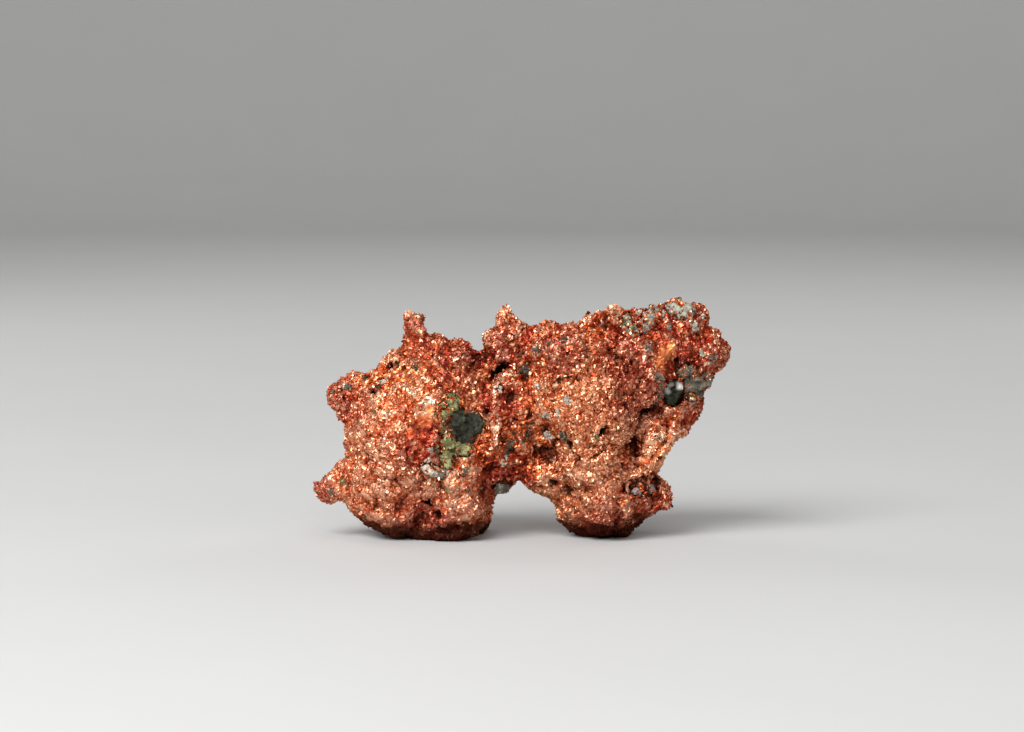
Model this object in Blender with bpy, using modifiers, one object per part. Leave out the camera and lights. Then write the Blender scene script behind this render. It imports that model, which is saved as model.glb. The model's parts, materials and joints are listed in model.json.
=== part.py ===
"""Native copper nugget: a knobbly grown mass on two rounded feet, with the minerals that grew in its pockets.

The mass is sculpted as overlapping lobes and limbs that are fused, roughened and cut flat under its feet.
Each mineral is a grain of its own, seated in a pocket that follows its shape with a small gap all round.
X runs along the nugget, Y from its front to its back and Z up; the origin is on the surface under its middle.
"""

from collections import namedtuple

import bmesh
import bpy
from mathutils import Matrix, Vector
from mathutils.bvhtree import BVHTree

# Driving dimensions, in metres
LENGTH = 0.0602         # tip of the left spur to the right shoulder
POCKET_GAP = 0.0003     # clearance between a mineral and its pocket

# The lobes are drawn in units that make the nugget 60.2 long, so that a unit is a millimetre at this LENGTH
DRAWN_LENGTH = 60.2
UNIT = LENGTH / DRAWN_LENGTH

COPPER_VOXEL = 0.45     # cell size in which the copper's lobes are fused, in units
COPPER_SOFTENING = 5
COPPER_TRIANGLES = 5500
GRAIN_VOXEL = 0.16      # the same for the spots of one mineral
GRAIN_SOFTENING = 2
GRAIN_LUMP_HEIGHT = 0.3  # how far a mineral's surface moves, as a share of its depth

# Roughening of the copper: how far the surface moves and how wide the lumps are, in units
LUMPS = (("coarse_lumps", 1.5, 4.6), ("fine_lumps", 0.9, 1.9))

Lobe = namedtuple("Lobe", "name centre radii")
Limb = namedtuple("Limb", "name start start_radius end end_radius")
Block = namedtuple("Block", "name centre size lean")
Grain = namedtuple("Grain", "name spots depth sink triangles lump_size material")
Spot = namedtuple("Spot", "x z half_width half_height")
Finish = namedtuple("Finish", "name colour roughness metallic")

COPPER = Finish("native_copper", (0.62, 0.22, 0.12, 1.0), 0.38, 1.0)
CHLORITE = Finish("chlorite", (0.05, 0.07, 0.055, 1.0), 0.75, 0.0)
EPIDOTE = Finish("epidote", (0.28, 0.38, 0.2, 1.0), 0.6, 0.0)
GREEN_GLASS = Finish("glassy_green_crystal", (0.03, 0.06, 0.03, 1.0), 0.12, 0.0)
QUARTZ = Finish("quartz", (0.42, 0.44, 0.42, 1.0), 0.25, 0.0)
CALCITE = Finish("calcite", (0.55, 0.58, 0.52, 1.0), 0.45, 0.0)

LEFT_MASS = [
    Lobe("core", (-14.6, 0.6, 12.8), (10.2, 8.6, 9.8)),
    Lobe("upper core", (-14.0, 0.4, 20.0), (7.4, 6.8, 8.2)),
    Lobe("flank", (-20.2, -1.0, 14.6), (5.2, 6.2, 5.6)),
    Lobe("shoulder", (-19.6, 0.2, 18.8), (5.0, 6.0, 5.2)),
    Lobe("ear tip", (-25.6, -0.3, 20.0), (2.4, 3.2, 2.2)),
    Lobe("ear underside", (-25.1, -0.3, 18.4), (1.9, 2.6, 2.0)),
    Lobe("ear root", (-23.2, 0.6, 20.8), (2.9, 3.8, 2.6)),
    Lobe("left of the chimney", (-17.3, 0.0, 24.9), (2.2, 3.4, 2.8)),
    Lobe("waist knob", (-25.0, -1.0, 13.6), (0.9, 1.0, 0.9)),
    Lobe("front swell", (-15.6, -5.2, 12.4), (7.2, 5.0, 5.6)),
    Lobe("front of the spur", (-20.8, -4.2, 9.4), (3.8, 3.4, 3.8)),
    Lobe("front right swell", (-9.0, -5.4, 9.8), (4.0, 3.6, 4.4)),
    Lobe("front left swell", (-18.6, -3.8, 17.0), (3.6, 3.4, 3.6)),
    Lobe("front upper swell", (-12.6, -4.2, 18.6), (5.6, 4.4, 5.6)),
    Lobe("top right", (-12.5, 0.0, 26.2), (2.6, 3.6, 3.0)),
    Lobe("saddle", (-8.8, 0.3, 25.2), (3.3, 4.6, 3.1)),
    Lobe("saddle root", (-8.6, 0.0, 20.0), (5.0, 6.2, 6.0)),
    Lobe("foot", (-12.9, -0.3, 6.9), (9.3, 7.8, 8.0)),
    Lobe("foot under spur", (-20.0, -0.8, 5.8), (5.4, 5.6, 4.6)),
    Lobe("left toe", (-18.4, -3.6, 4.4), (4.2, 4.4, 4.2)),
    Lobe("right toe", (-9.6, -4.6, 4.4), (4.9, 4.4, 4.6)),
    Lobe("shaded heel", (-7.4, 3.2, 2.4), (3.3, 4.4, 3.0)),
    Lobe("back swell", (-13.2, 6.6, 11.4), (6.6, 4.8, 6.8)),
    Lobe("back shoulder", (-17.4, 4.8, 18.0), (4.8, 4.2, 4.8)),
    Lobe("back heel", (-15.6, 5.0, 4.6), (4.6, 4.4, 4.8)),
]

BRIDGE = [
    Lobe("bridge", (-1.0, 0.2, 17.0), (7.4, 6.0, 8.6)),
    Lobe("bridge front", (-2.4, -3.6, 15.6), (4.6, 3.6, 5.6)),
    Lobe("left drip", (-3.4, -0.6, 9.4), (2.9, 4.6, 3.0)),
    Lobe("right drip", (2.4, -0.2, 9.3), (2.9, 5.0, 3.4)),
    Lobe("neck", (-2.6, 0.2, 24.0), (4.6, 4.6, 4.4)),
    Lobe("tower base", (-3.2, -0.5, 27.3), (2.8, 3.2, 3.2)),
    Lobe("tower side", (-1.2, -0.3, 28.7), (1.8, 2.6, 3.0)),
    Lobe("bridge crown", (4.0, 0.0, 25.1), (5.2, 5.2, 6.0)),
    Lobe("right of the crown", (6.8, -0.2, 29.2), (2.2, 3.0, 1.9)),
    Lobe("bridge back", (-2.0, 4.0, 19.0), (5.2, 3.2, 5.4)),
]

RIGHT_MASS = [
    Lobe("core", (9.6, 0.4, 20.0), (8.6, 8.6, 11.2)),
    Lobe("front dome", (10.0, -5.2, 18.2), (6.8, 5.0, 6.4)),
    Lobe("front brow", (7.0, -3.4, 25.4), (5.2, 4.4, 4.6)),
    Lobe("front left lump", (4.0, -4.8, 20.4), (3.0, 3.2, 3.6)),
    Lobe("front right lump", (13.8, -5.0, 23.0), (3.2, 3.0, 3.2)),
    Lobe("front lower swell", (9.6, -4.8, 11.6), (5.4, 4.6, 4.8)),
    Lobe("upper core", (19.2, 0.4, 25.4), (8.2, 6.8, 7.0)),
    Lobe("upper front", (16.8, -4.0, 24.2), (5.4, 4.0, 5.6)),
    Lobe("first tip", (9.3, -1.2, 30.1), (1.4, 2.0, 2.0)),
    Lobe("second tip", (11.1, 0.2, 30.3), (1.3, 2.2, 2.0)),
    Lobe("third tip", (13.8, -0.6, 30.9), (1.7, 2.6, 2.4)),
    Lobe("upper edge", (17.2, 0.0, 29.9), (4.2, 4.6, 3.3)),
    Lobe("upper corner", (20.6, -0.6, 30.3), (2.8, 3.8, 3.4)),
    Lobe("red knob", (22.1, -1.0, 33.4), (1.4, 1.5, 1.5)),
    Lobe("crest", (23.9, -0.6, 30.2), (2.9, 3.8, 3.4)),
    Lobe("crest corner", (25.1, -0.6, 31.6), (1.6, 2.4, 2.5)),
    Lobe("right shoulder", (26.7, 0.0, 26.7), (3.4, 4.6, 3.6)),
    Lobe("right shoulder root", (23.4, 0.4, 24.6), (4.4, 5.6, 4.6)),
    Lobe("right middle", (21.6, 0.6, 18.4), (4.4, 5.4, 4.0)),
    Lobe("right middle edge", (22.2, -0.8, 15.6), (2.5, 3.6, 2.1)),
    Lobe("behind the slot", (16.0, 2.2, 13.2), (4.2, 5.2, 6.6)),
    Lobe("slot floor", (18.4, 1.0, 14.0), (2.4, 3.0, 3.4)),
    Lobe("foot", (12.1, 0.0, 7.4), (7.0, 6.6, 8.5)),
    Lobe("foot front", (11.6, -4.2, 6.4), (5.0, 4.2, 6.0)),
    Lobe("arch side", (5.5, -0.4, 9.7), (4.7, 5.8, 4.7)),
    Lobe("arch buttress", (8.6, -1.0, 5.0), (4.1, 5.0, 5.0)),
    Lobe("back swell", (9.6, 6.2, 21.0), (7.0, 4.8, 7.6)),
    Lobe("back shoulder", (18.0, 4.6, 25.0), (5.2, 4.6, 5.0)),
    Lobe("back middle", (15.4, 5.2, 14.6), (5.0, 4.4, 5.6)),
    Lobe("back heel", (11.0, 4.6, 4.6), (4.4, 4.2, 4.8)),
]

LIMBS = [
    Limb("left spur", (-21.6, -1.0, 9.5), 4.2, (-27.9, -1.6, 7.0), 2.0),
    Limb("tower", (-2.8, -0.5, 29.4), 1.6, (-2.2, -0.5, 33.1), 0.75),
    Limb("strut", (21.4, -3.4, 15.0), 1.4, (17.5, -4.6, 9.2), 1.5),
    Limb("strut root", (17.5, -4.6, 9.2), 1.5, (14.6, -4.2, 6.6), 2.2),
    Limb("hook arm", (14.6, -2.6, 4.3), 2.4, (19.6, -2.8, 4.9), 1.3),
    Limb("hook", (20.4, -2.6, 5.2), 1.6, (20.6, -2.4, 6.2), 1.5),
    Limb("hook return", (20.2, -2.0, 6.9), 1.0, (18.2, -1.0, 8.8), 1.2),
]

BLOCKS = [
    Block("chimney", (-15.5, 0.0, 28.7), (3.2, 2.8, 6.8), 0.02),
]

GRAINS = [
    Grain("chlorite_pocket", (
        Spot(-9.4, 16.0, 1.5, 1.5), Spot(-8.6, 15.0, 1.4, 1.5), Spot(-8.1, 16.5, 1.3, 1.1),
        Spot(-6.7, 16.6, 1.3, 1.3), Spot(-9.5, 17.8, 1.0, 1.0),
    ), 1.5, 0.5, 300, 1.6, CHLORITE),
    Grain("epidote_streak", (
        Spot(-10.6, 14.0, 0.75, 1.2), Spot(-10.6, 12.7, 0.8, 0.9), Spot(-10.7, 11.6, 0.7, 0.7),
        Spot(-9.5, 13.3, 1.0, 0.7), Spot(-8.3, 13.1, 1.0, 0.6),
    ), 1.0, 0.45, 170, 1.2, EPIDOTE),
    Grain("epidote_cap", (
        Spot(-10.0, 19.4, 1.0, 0.8), Spot(-10.9, 18.7, 0.7, 0.9), Spot(-9.6, 20.2, 0.8, 0.7),
    ), 1.0, 0.45, 120, 1.1, EPIDOTE),
    Grain("calcite_streak", (
        Spot(-13.3, 10.8, 0.7, 0.55), Spot(-12.5, 10.4, 0.7, 0.55), Spot(-11.7, 10.0, 0.8, 0.55),
    ), 0.8, 0.4, 110, 0.8, CALCITE),
    Grain("calcite_bleb", (Spot(-12.7, 8.5, 0.8, 0.55),), 0.8, 0.4, 80, 0.8, CALCITE),
    Grain("green_crystal", (Spot(21.5, 21.3, 1.45, 2.0),), 1.7, 0.5, 90, 1.5, GREEN_GLASS),
    Grain("quartz_cluster", (
        Spot(23.2, 24.1, 1.1, 0.9), Spot(24.2, 22.8, 1.1, 1.2), Spot(24.3, 21.0, 0.95, 1.3),
        Spot(25.6, 22.7, 1.0, 0.9),
    ), 1.5, 0.6, 220, 1.2, QUARTZ),
    Grain("calcite_crest", (
        Spot(21.5, 32.7, 0.7, 0.6), Spot(22.4, 32.1, 0.8, 0.8), Spot(23.5, 32.4, 0.9, 0.85),
    ), 0.9, 0.5, 130, 1.0, CALCITE),
    Grain("calcite_edge", (
        Spot(19.1, 32.2, 0.8, 0.65), Spot(18.1, 31.4, 0.75, 0.7), Spot(17.3, 30.4, 0.8, 0.85),
    ), 0.9, 0.5, 130, 1.1, CALCITE),
    Grain("epidote_edge", (
        Spot(14.9, 30.9, 0.6, 0.8), Spot(15.4, 30.4, 0.6, 0.7), Spot(15.8, 29.6, 0.55, 0.9),
    ), 0.8, 0.5, 110, 1.1, EPIDOTE),
    Grain("quartz_under_bridge", (Spot(-2.9, 7.5, 0.75, 0.95),), 1.0, 0.5, 80, 0.8, QUARTZ),
    Grain("quartz_in_hook", (Spot(18.3, 7.1, 0.75, 0.6),), 0.9, 0.6, 80, 0.8, QUARTZ),
    Grain("quartz_beside_hook", (Spot(16.4, 7.0, 0.65, 0.5),), 0.9, 0.6, 80, 0.8, QUARTZ),
]

# Grains that grew against each other: the first is hollowed where it meets the second
TOUCHING = (
    ("quartz_cluster", "green_crystal"), ("epidote_streak", "chlorite_pocket"),
    ("epidote_cap", "chlorite_pocket"),
)


def clear_scene():
    for item in list(bpy.context.scene.objects):
        bpy.data.objects.remove(item, do_unlink=True)


def collection(name):
    made = bpy.data.collections.new(name)
    bpy.context.scene.collection.children.link(made)
    return made


def material(finish):
    made = bpy.data.materials.get(finish.name)
    if made is None:
        made = bpy.data.materials.new(finish.name)
        made.use_nodes = True
        shader = made.node_tree.nodes["Principled BSDF"]
        shader.inputs["Base Color"].default_value = finish.colour
        shader.inputs["Roughness"].default_value = finish.roughness
        shader.inputs["Metallic"].default_value = finish.metallic
    return made


def add_object(name, mesh, home, finish=None):
    made = bpy.data.objects.new(name, mesh)
    home.objects.link(made)
    if finish is not None:
        made.data.materials.clear()
        made.data.materials.append(material(finish))
    return made


def applied(item):
    """The object's evaluated mesh, as a new mesh with no modifiers behind it."""
    graph = bpy.context.evaluated_depsgraph_get()
    return bpy.data.meshes.new_from_object(item.evaluated_get(graph))


def placed(centre, radii):
    return Matrix.Translation(Vector(centre) * UNIT) @ Matrix.Diagonal((*(r * UNIT for r in radii), 1.0))


def add_lobe(shape, centre, radii, detail=3):
    bmesh.ops.create_icosphere(shape, subdivisions=detail, radius=1.0, matrix=placed(centre, radii))


def add_limb(shape, limb):
    """A tapering limb, as a row of balls half a radius apart."""
    start = Vector(limb.start)
    run = Vector(limb.end) - start
    steps = max(2, round(run.length / (0.5 * min(limb.start_radius, limb.end_radius))))
    for step in range(steps + 1):
        along = step / steps
        radius = limb.start_radius + along * (limb.end_radius - limb.start_radius)
        add_lobe(shape, start + along * run, (radius,) * 3)


def add_block(shape, block):
    lean = Matrix.Rotation(block.lean, 4, "Y")
    half = tuple(side / 2.0 for side in block.size)
    bmesh.ops.create_cube(shape, size=2.0, matrix=placed(block.centre, half) @ lean)


def lobes_mesh():
    shape = bmesh.new()
    for lobe in LEFT_MASS + BRIDGE + RIGHT_MASS:
        add_lobe(shape, lobe.centre, lobe.radii)
    for limb in LIMBS:
        add_limb(shape, limb)
    for block in BLOCKS:
        add_block(shape, block)
    mesh = bpy.data.meshes.new("lobes")
    shape.to_mesh(mesh)
    shape.free()
    return mesh


def add_lumps(item, name, height, size):
    """Roughens the surface with soft lumps of the given height and width, in units."""
    texture = bpy.data.textures.new(name, "CLOUDS")
    texture.noise_scale = size * UNIT
    texture.noise_depth = 1
    lumps = item.modifiers.new(name, "DISPLACE")
    lumps.texture = texture
    lumps.texture_coords = "LOCAL"
    lumps.strength = height * UNIT
    lumps.mid_level = 0.5


def fuse(item, voxel, softening, lumps):
    """Fuses the object's lobes into one skin, softens it and roughens it."""
    fused = item.modifiers.new("fuse", "REMESH")
    fused.mode = "VOXEL"
    fused.voxel_size = voxel * UNIT
    soften = item.modifiers.new("soften", "SMOOTH")
    soften.factor = 0.5
    soften.iterations = softening
    for name, height, size in lumps:
        add_lumps(item, name, height, size)


def thinned(item, triangles):
    """The object's mesh with its triangles thinned out to the given number."""
    item.data = applied(item)
    item.modifiers.clear()
    item.data.calc_loop_triangles()
    thin = item.modifiers.new("thin", "DECIMATE")
    thin.use_collapse_triangulate = True
    thin.ratio = triangles / len(item.data.loop_triangles)
    mesh = applied(item)
    item.modifiers.clear()
    return mesh


def cut(item, cutter, name):
    step = item.modifiers.new(name, "BOOLEAN")
    step.operation = "DIFFERENCE"
    step.solver = "EXACT"
    step.object = cutter


def hide_as_cutter(item):
    item.hide_render = True
    item.display_type = "WIRE"


def ground(home):
    """The space below the feet."""
    shape = bmesh.new()
    depth = 10.0
    half = (DRAWN_LENGTH, DRAWN_LENGTH, depth)
    bmesh.ops.create_cube(shape, size=2.0, matrix=placed((0.0, 0.0, -depth), half))
    mesh = bpy.data.meshes.new("ground")
    shape.to_mesh(mesh)
    shape.free()
    made = add_object("ground", mesh, home)
    hide_as_cutter(made)
    return made


def centred(mesh):
    """Moves the mesh level, so that its box has the Z axis through its middle."""
    spans = [[vertex.co[axis] for vertex in mesh.vertices] for axis in range(2)]
    middle = [(min(span) + max(span)) / 2.0 for span in spans]
    mesh.transform(Matrix.Translation((-middle[0], -middle[1], 0.0)))
    return mesh


def front_of(mesh, x, z):
    """Y of the mesh's front surface at the given place, in units."""
    points = [vertex.co for vertex in mesh.vertices]
    faces = [face.vertices[:] for face in mesh.polygons]
    tree = BVHTree.FromPolygons(points, faces)
    hit = tree.ray_cast(Vector((x * UNIT, -LENGTH, z * UNIT)), Vector((0.0, 1.0, 0.0)))[0]
    return hit.y / UNIT


def grain_object(grain, surface, home):
    shape = bmesh.new()
    for spot in grain.spots:
        middle = front_of(surface, spot.x, spot.z) + grain.sink * grain.depth
        add_lobe(shape, (spot.x, middle, spot.z), (spot.half_width, grain.depth, spot.half_height))
    mesh = bpy.data.meshes.new(grain.name)
    shape.to_mesh(mesh)
    shape.free()
    made = add_object(grain.name, mesh, home)
    lumps = ((grain.name + "_lumps", GRAIN_LUMP_HEIGHT * grain.depth, grain.lump_size),)
    fuse(made, GRAIN_VOXEL, GRAIN_SOFTENING, lumps)
    made.data = thinned(made, grain.triangles)
    made.data.materials.clear()
    made.data.materials.append(material(grain.material))
    return made


def pocket_for(item, triangles, home):
    """The space that a mineral takes in the copper, with the gap all round it."""
    pocket = add_object(item.name + "_pocket", item.data.copy(), home)
    swell = pocket.modifiers.new("gap", "DISPLACE")
    swell.strength = POCKET_GAP
    swell.mid_level = 0.0
    closed = pocket.modifiers.new("closed", "REMESH")
    closed.mode = "VOXEL"
    closed.voxel_size = GRAIN_VOXEL * UNIT
    pocket.data = thinned(pocket, triangles)
    hide_as_cutter(pocket)
    return pocket


def clear_crumbs(item):
    """Removes the slivers that are cut loose where two pockets nearly meet."""
    item.data = applied(item)
    item.modifiers.clear()
    shape = bmesh.new()
    shape.from_mesh(item.data)
    unseen = set(shape.verts)
    bodies = []
    while unseen:
        body = set()
        edge = [unseen.pop()]
        while edge:
            vertex = edge.pop()
            body.add(vertex)
            beside = {link.other_vert(vertex) for link in vertex.link_edges} & unseen
            unseen -= beside
            edge.extend(beside)
        bodies.append(body)
    bodies.sort(key=len)
    for crumb in bodies[:-1]:
        bmesh.ops.delete(shape, geom=list(crumb), context="VERTS")
    shape.to_mesh(item.data)
    shape.free()


def copper_mass(home):
    made = add_object("copper_mass", lobes_mesh(), home)
    fuse(made, COPPER_VOXEL, COPPER_SOFTENING, LUMPS)
    made.data = centred(thinned(made, COPPER_TRIANGLES))
    made.data.materials.clear()
    made.data.materials.append(material(COPPER))
    return made


def main():
    clear_scene()
    nugget = collection("native_copper_nugget")
    cutters = collection("cutters")
    copper = copper_mass(nugget)
    surface = copper.data.copy()
    cut(copper, ground(cutters), "feet")
    minerals = {}
    pockets = {}
    for grain in GRAINS:
        minerals[grain.name] = grain_object(grain, surface, nugget)
        pockets[grain.name] = pocket_for(minerals[grain.name], grain.triangles, cutters)
        cut(copper, pockets[grain.name], grain.name)
    clear_crumbs(copper)
    for hollowed, neighbour in TOUCHING:
        cut(minerals[hollowed], pockets[neighbour], neighbour)


main()
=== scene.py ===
"""Native copper nugget: a hackly copper mass under a crust of crystals, with minerals in its pockets.

Sizes are metres in the settings and millimetres in the tables of places. X runs along the nugget, Y from
front to back and Z up, with the surface that it stands on at Z = 0.
"""

import json
import math

import bmesh
import bpy
import numpy as np
from bpy.props import FloatProperty, FloatVectorProperty, IntProperty, PointerProperty
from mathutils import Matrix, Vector, noise
from mathutils.bvhtree import BVHTree

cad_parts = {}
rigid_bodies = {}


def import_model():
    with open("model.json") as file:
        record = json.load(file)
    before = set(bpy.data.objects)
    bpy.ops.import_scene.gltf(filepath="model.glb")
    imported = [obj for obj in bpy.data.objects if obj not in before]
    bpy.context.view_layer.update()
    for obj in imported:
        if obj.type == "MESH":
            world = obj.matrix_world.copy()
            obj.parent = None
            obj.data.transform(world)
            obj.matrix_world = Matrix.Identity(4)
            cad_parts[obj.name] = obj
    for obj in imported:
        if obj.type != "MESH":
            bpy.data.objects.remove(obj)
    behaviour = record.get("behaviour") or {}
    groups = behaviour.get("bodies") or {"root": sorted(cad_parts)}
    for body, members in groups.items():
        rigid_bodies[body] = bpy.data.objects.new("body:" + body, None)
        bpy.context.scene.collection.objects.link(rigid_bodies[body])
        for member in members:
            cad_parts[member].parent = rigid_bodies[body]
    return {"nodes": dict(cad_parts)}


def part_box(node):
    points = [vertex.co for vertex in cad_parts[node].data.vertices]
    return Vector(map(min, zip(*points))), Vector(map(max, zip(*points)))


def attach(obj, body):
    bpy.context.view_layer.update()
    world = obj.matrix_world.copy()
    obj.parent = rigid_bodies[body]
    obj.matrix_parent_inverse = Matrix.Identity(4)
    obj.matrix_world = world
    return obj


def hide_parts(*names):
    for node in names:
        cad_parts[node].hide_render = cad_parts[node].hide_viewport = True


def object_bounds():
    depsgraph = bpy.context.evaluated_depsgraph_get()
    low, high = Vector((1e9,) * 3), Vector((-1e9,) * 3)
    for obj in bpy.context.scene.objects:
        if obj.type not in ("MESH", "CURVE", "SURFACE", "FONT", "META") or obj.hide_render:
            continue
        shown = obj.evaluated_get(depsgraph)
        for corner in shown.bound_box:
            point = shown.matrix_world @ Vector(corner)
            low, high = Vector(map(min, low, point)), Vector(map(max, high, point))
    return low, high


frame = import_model()
CAD_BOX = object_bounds()

bl_info = {
    "name": "Native Copper Nugget",
    "version": (1, 0, 0),
    "blender": (4, 5, 0),
    "location": "View3D > Sidebar > Nugget",
    "description": "Builds a native copper nugget with its crystal crust and pocket minerals",
    "category": "Object",
}

MM = 0.001

# The eye that looks at the front of the nugget, where the camera stands, and its lens in millimetres
AIM = Vector((-0.0014, 0.0, 0.0244))
EYE_DISTANCE = 0.408
EYE_ELEVATION = math.radians(5.0)
EYE = AIM + EYE_DISTANCE * Vector((0.0, -math.cos(EYE_ELEVATION), math.sin(EYE_ELEVATION)))
LENS = 100.0
SENSOR = 36.0

# Each light: its name, the setting that powers it and what share of it, its width, its place and its aim
MIDDLE = (0.0, 0.0, 0.015)
LAMPS = (
    ("key", "key", 1.0, 0.4, (-0.3, -0.4, 0.46), MIDDLE),
    ("fill", "fill", 1.0, 0.3, (0.48, -0.36, 0.26), MIDDLE),
    ("front", "front", 1.0, 0.5, (0.0, -0.75, 0.5), MIDDLE),
    ("top", "top", 1.0, 0.4, (0.08, -0.04, 0.6), MIDDLE),
    ("rim_left", "rim", 1.0, 0.2, (-0.4, 0.36, 0.3), MIDDLE),
    ("rim_right", "rim", 1.0, 0.2, (0.42, 0.4, 0.34), MIDDLE),
    ("wall_back", "wall", 1.0, 0.6, (0.0, 0.45, 0.9), (0.0, 1.5, 0.35)),
    ("wall_left", "wall", 0.6, 0.6, (-0.55, 0.0, 0.9), (-1.5, 0.0, 0.35)),
)
SKY = (1.0, 0.98, 0.95, 1.0)
COVE_STEPS = 12
WALL_STEPS = 96

# Colours of the finishes that have no setting: light and dark grains, cloudy white spots, the green
# crystal's painted highlight, and the copper's reflection at a grazing angle
WORN_EPIDOTE = (0.36, 0.37, 0.27), (0.13, 0.14, 0.09)
TAN_CALCITE = (0.40, 0.24, 0.14), (0.22, 0.13, 0.08)
PALE_CALCITE = (0.64, 0.58, 0.48), (0.34, 0.31, 0.25)
MILK = (0.70, 0.57, 0.45)
QUARTZ_MILK = (0.46, 0.40, 0.41)
# The green crystal's painted highlight
GLASS_HIGHLIGHT = (0.85, 0.82, 0.78)
EDGE_TINT = (0.96, 0.48, 0.30, 1.0)

# How high, in millimetres, the pits and creases are faded out, and how high the painted shade of the
# underside and that of the feet reach
FOOT_FADE = 1.2
UNDERSIDE_SHADE = 8.0
FEET_SHADE = 4.4

# The far pits and patches: ranges of radius and depth, of the places that rays aim at along X, Y and Z,
# and of how steeply the rays rise, then how far out the rays start and how far forward they may land. All
# but the rise are millimetres. A patch's depth is drawn and not used.
FAR_PIT_RADII, FAR_PIT_DEPTHS = (0.3, 0.6), (0.5, 1.1)
FAR_PATCH_RADII, FAR_PATCH_DEPTHS = (0.25, 0.95), (0.0, 1.0)
FAR_AIMS = (-24.0, 26.0), (-4.0, 6.0), (5.0, 29.0)
FAR_RISE = (-0.15, 0.95)
FAR_START = 80.0
FAR_FRONT = -2.0

# How much wider a pit is than its table says, the spacing of the spots along a crease in millimetres, and
# how dark shade and hollows can make the copper outside the pits
PIT_SPREAD = 1.25
CREASE_STEP = 0.35
DARKEST = 0.88

# How many wires the crust has to each of its crystals
WIRE_SHARE = 0.07

# Where the crust is parted into pieces at the left and the right, as shares of the nugget's width
CRUST_CUTS = (0.25, 0.74)

# The copper settings that shape its hackly surface, which are the inputs of its geometry tree
HACKLY_SETTINGS = ("nodule_size", "nodule_height", "grain_size", "grain_height", "ridge_size",
                   "ridge_height", "hole_size", "hole_depth", "seed")

# The hackly surface, in metres: how far its patterns are warped, and the heights between which they fade in
WARP = 0.0012
FLAT_FOOT = (0.0001, 0.0012)

# How much the green crystal outgrows its CAD box along X, Y and Z, and its shift in millimetres
GREEN_GROWTH = (1.2, 1.04, 1.32)
GREEN_SHIFT = (-0.4, 0.0, 0.25)

# What a place is multiplied by to lose its Y
FLATTEN = (1.0, 0.0, 1.0)

# Pits in the front, sunk and given painted shade: x and z on the middle plane, radius and depth
PITS = (
    (-4.6, 22.8, 0.5, 2.2), (-3.4, 23.7, 0.6, 2.6), (-2.4, 24.4, 0.5, 2.2), (12.0, 14.9, 0.6, 2.6),
    (19.2, 18.6, 0.6, 2.0), (9.7, 26.6, 0.4, 1.6), (7.6, 10.8, 0.6, 1.6), (6.5, 13.1, 0.5, 1.4),
    (6.8, 12.0, 0.4, 1.4), (15.9, 15.9, 0.35, 1.6), (16.1, 14.2, 0.35, 1.8), (16.3, 12.9, 0.3, 1.4),
    (-0.2, 6.2, 0.6, 1.2), (2.3, 6.6, 0.6, 1.4), (4.5, 7.1, 0.6, 1.6), (6.2, 7.8, 0.5, 1.6),
    (19.2, 7.9, 0.6, 2.2), (18.0, 7.9, 0.5, 1.8), (15.5, 6.8, 0.45, 1.3), (-5.3, 18.3, 0.4, 1.8),
    (-5.4, 17.5, 0.4, 1.8), (-21.4, 20.8, 0.3, 1.3), (-18.0, 24.8, 0.35, 1.2), (-19.1, 24.5, 0.45, 1.2),
    (-17.0, 24.3, 0.3, 1.0), (-3.0, 21.5, 0.3, 1.2), (22.4, 25.1, 0.22, 0.8), (-13.7, 4.6, 0.45, 1.2),
    (-12.4, 2.6, 0.6, 0.7), (-25.5, 19.8, 0.3, 0.8), (12.6, 27.4, 0.4, 1.0), (13.9, 25.6, 0.4, 1.0),
    (1.9, 22.2, 0.5, 1.2),
)

# Grooves between the bulges of the front, sunk and given painted shade: corners as x and z on the middle
# plane, half width and depth
CREASES = (
    (((-22.8, 12.3), (-22.3, 10.8), (-21.6, 9.2)), 0.6, 0.36),
    (((-18.6, 4.9), (-17.4, 3.9), (-15.1, 4.7), (-13.8, 4.3)), 0.5, 0.3),
    (((-13.6, 4.3), (-14.5, 2.8), (-14.8, 1.0)), 0.6, 0.6),
    (((-11.2, 0.2), (-7.3, 1.0), (-4.9, 2.7), (-3.6, 5.2)), 0.7, 0.58),
    (((-6.3, 27.4), (-5.1, 25.8), (-4.3, 23.5)), 0.7, 0.72),
    (((-2.4, 20.7), (-1.4, 18.1), (-1.7, 15.2), (-2.0, 12.0), (-1.1, 8.8)), 0.7, 0.65),
    (((0.2, 16.9), (1.2, 14.0), (3.8, 11.6), (7.5, 10.7)), 0.6, 0.5),
    (((14.3, 24.0), (14.2, 21.0), (15.3, 18.3), (16.1, 16.2), (16.0, 12.9)), 0.6, 0.35),
    (((16.0, 16.7), (16.3, 14.5), (16.5, 11.9)), 0.4, 1.3),
    (((4.9, 9.4), (6.4, 7.2), (7.5, 5.0)), 0.6, 0.43),
    (((14.4, 5.0), (14.4, 3.3), (14.0, 1.2)), 0.6, 0.65),
    (((12.6, 27.4), (14.4, 25.8), (15.8, 24.1), (17.3, 22.7)), 0.5, 0.29),
    (((15.4, 6.8), (17.0, 7.3), (18.5, 7.9), (19.5, 8.1)), 0.55, 0.9),
    (((6.3, 27.4), (8.9, 26.4), (11.6, 26.1), (14.1, 27.4)), 0.5, 0.18),
)

# Hollows in the front that are filled up: x and z on the middle plane, radius, and how far in front of the
# middle plane the copper then stands
FILLED = (
    (17.3, 13.8, 1.1, 5.4), (18.3, 15.3, 1.1, 4.9), (18.9, 16.3, 0.9, 4.8), (16.9, 12.5, 1.0, 5.4),
    (19.7, 15.1, 1.0, 5.2), (19.3, 14.0, 1.0, 5.4), (18.5, 12.9, 0.9, 5.5), (17.5, 11.7, 0.9, 5.4),
    (-19.9, 6.8, 1.1, 8.3), (-18.7, 6.8, 1.1, 8.7), (-20.8, 6.3, 0.9, 7.9), (-19.3, 5.6, 1.0, 8.0),
    (-21.6, 5.5, 0.8, 7.4), (-12.9, 7.5, 0.7, 8.8), (-13.0, 6.4, 0.7, 8.5),
)
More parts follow.
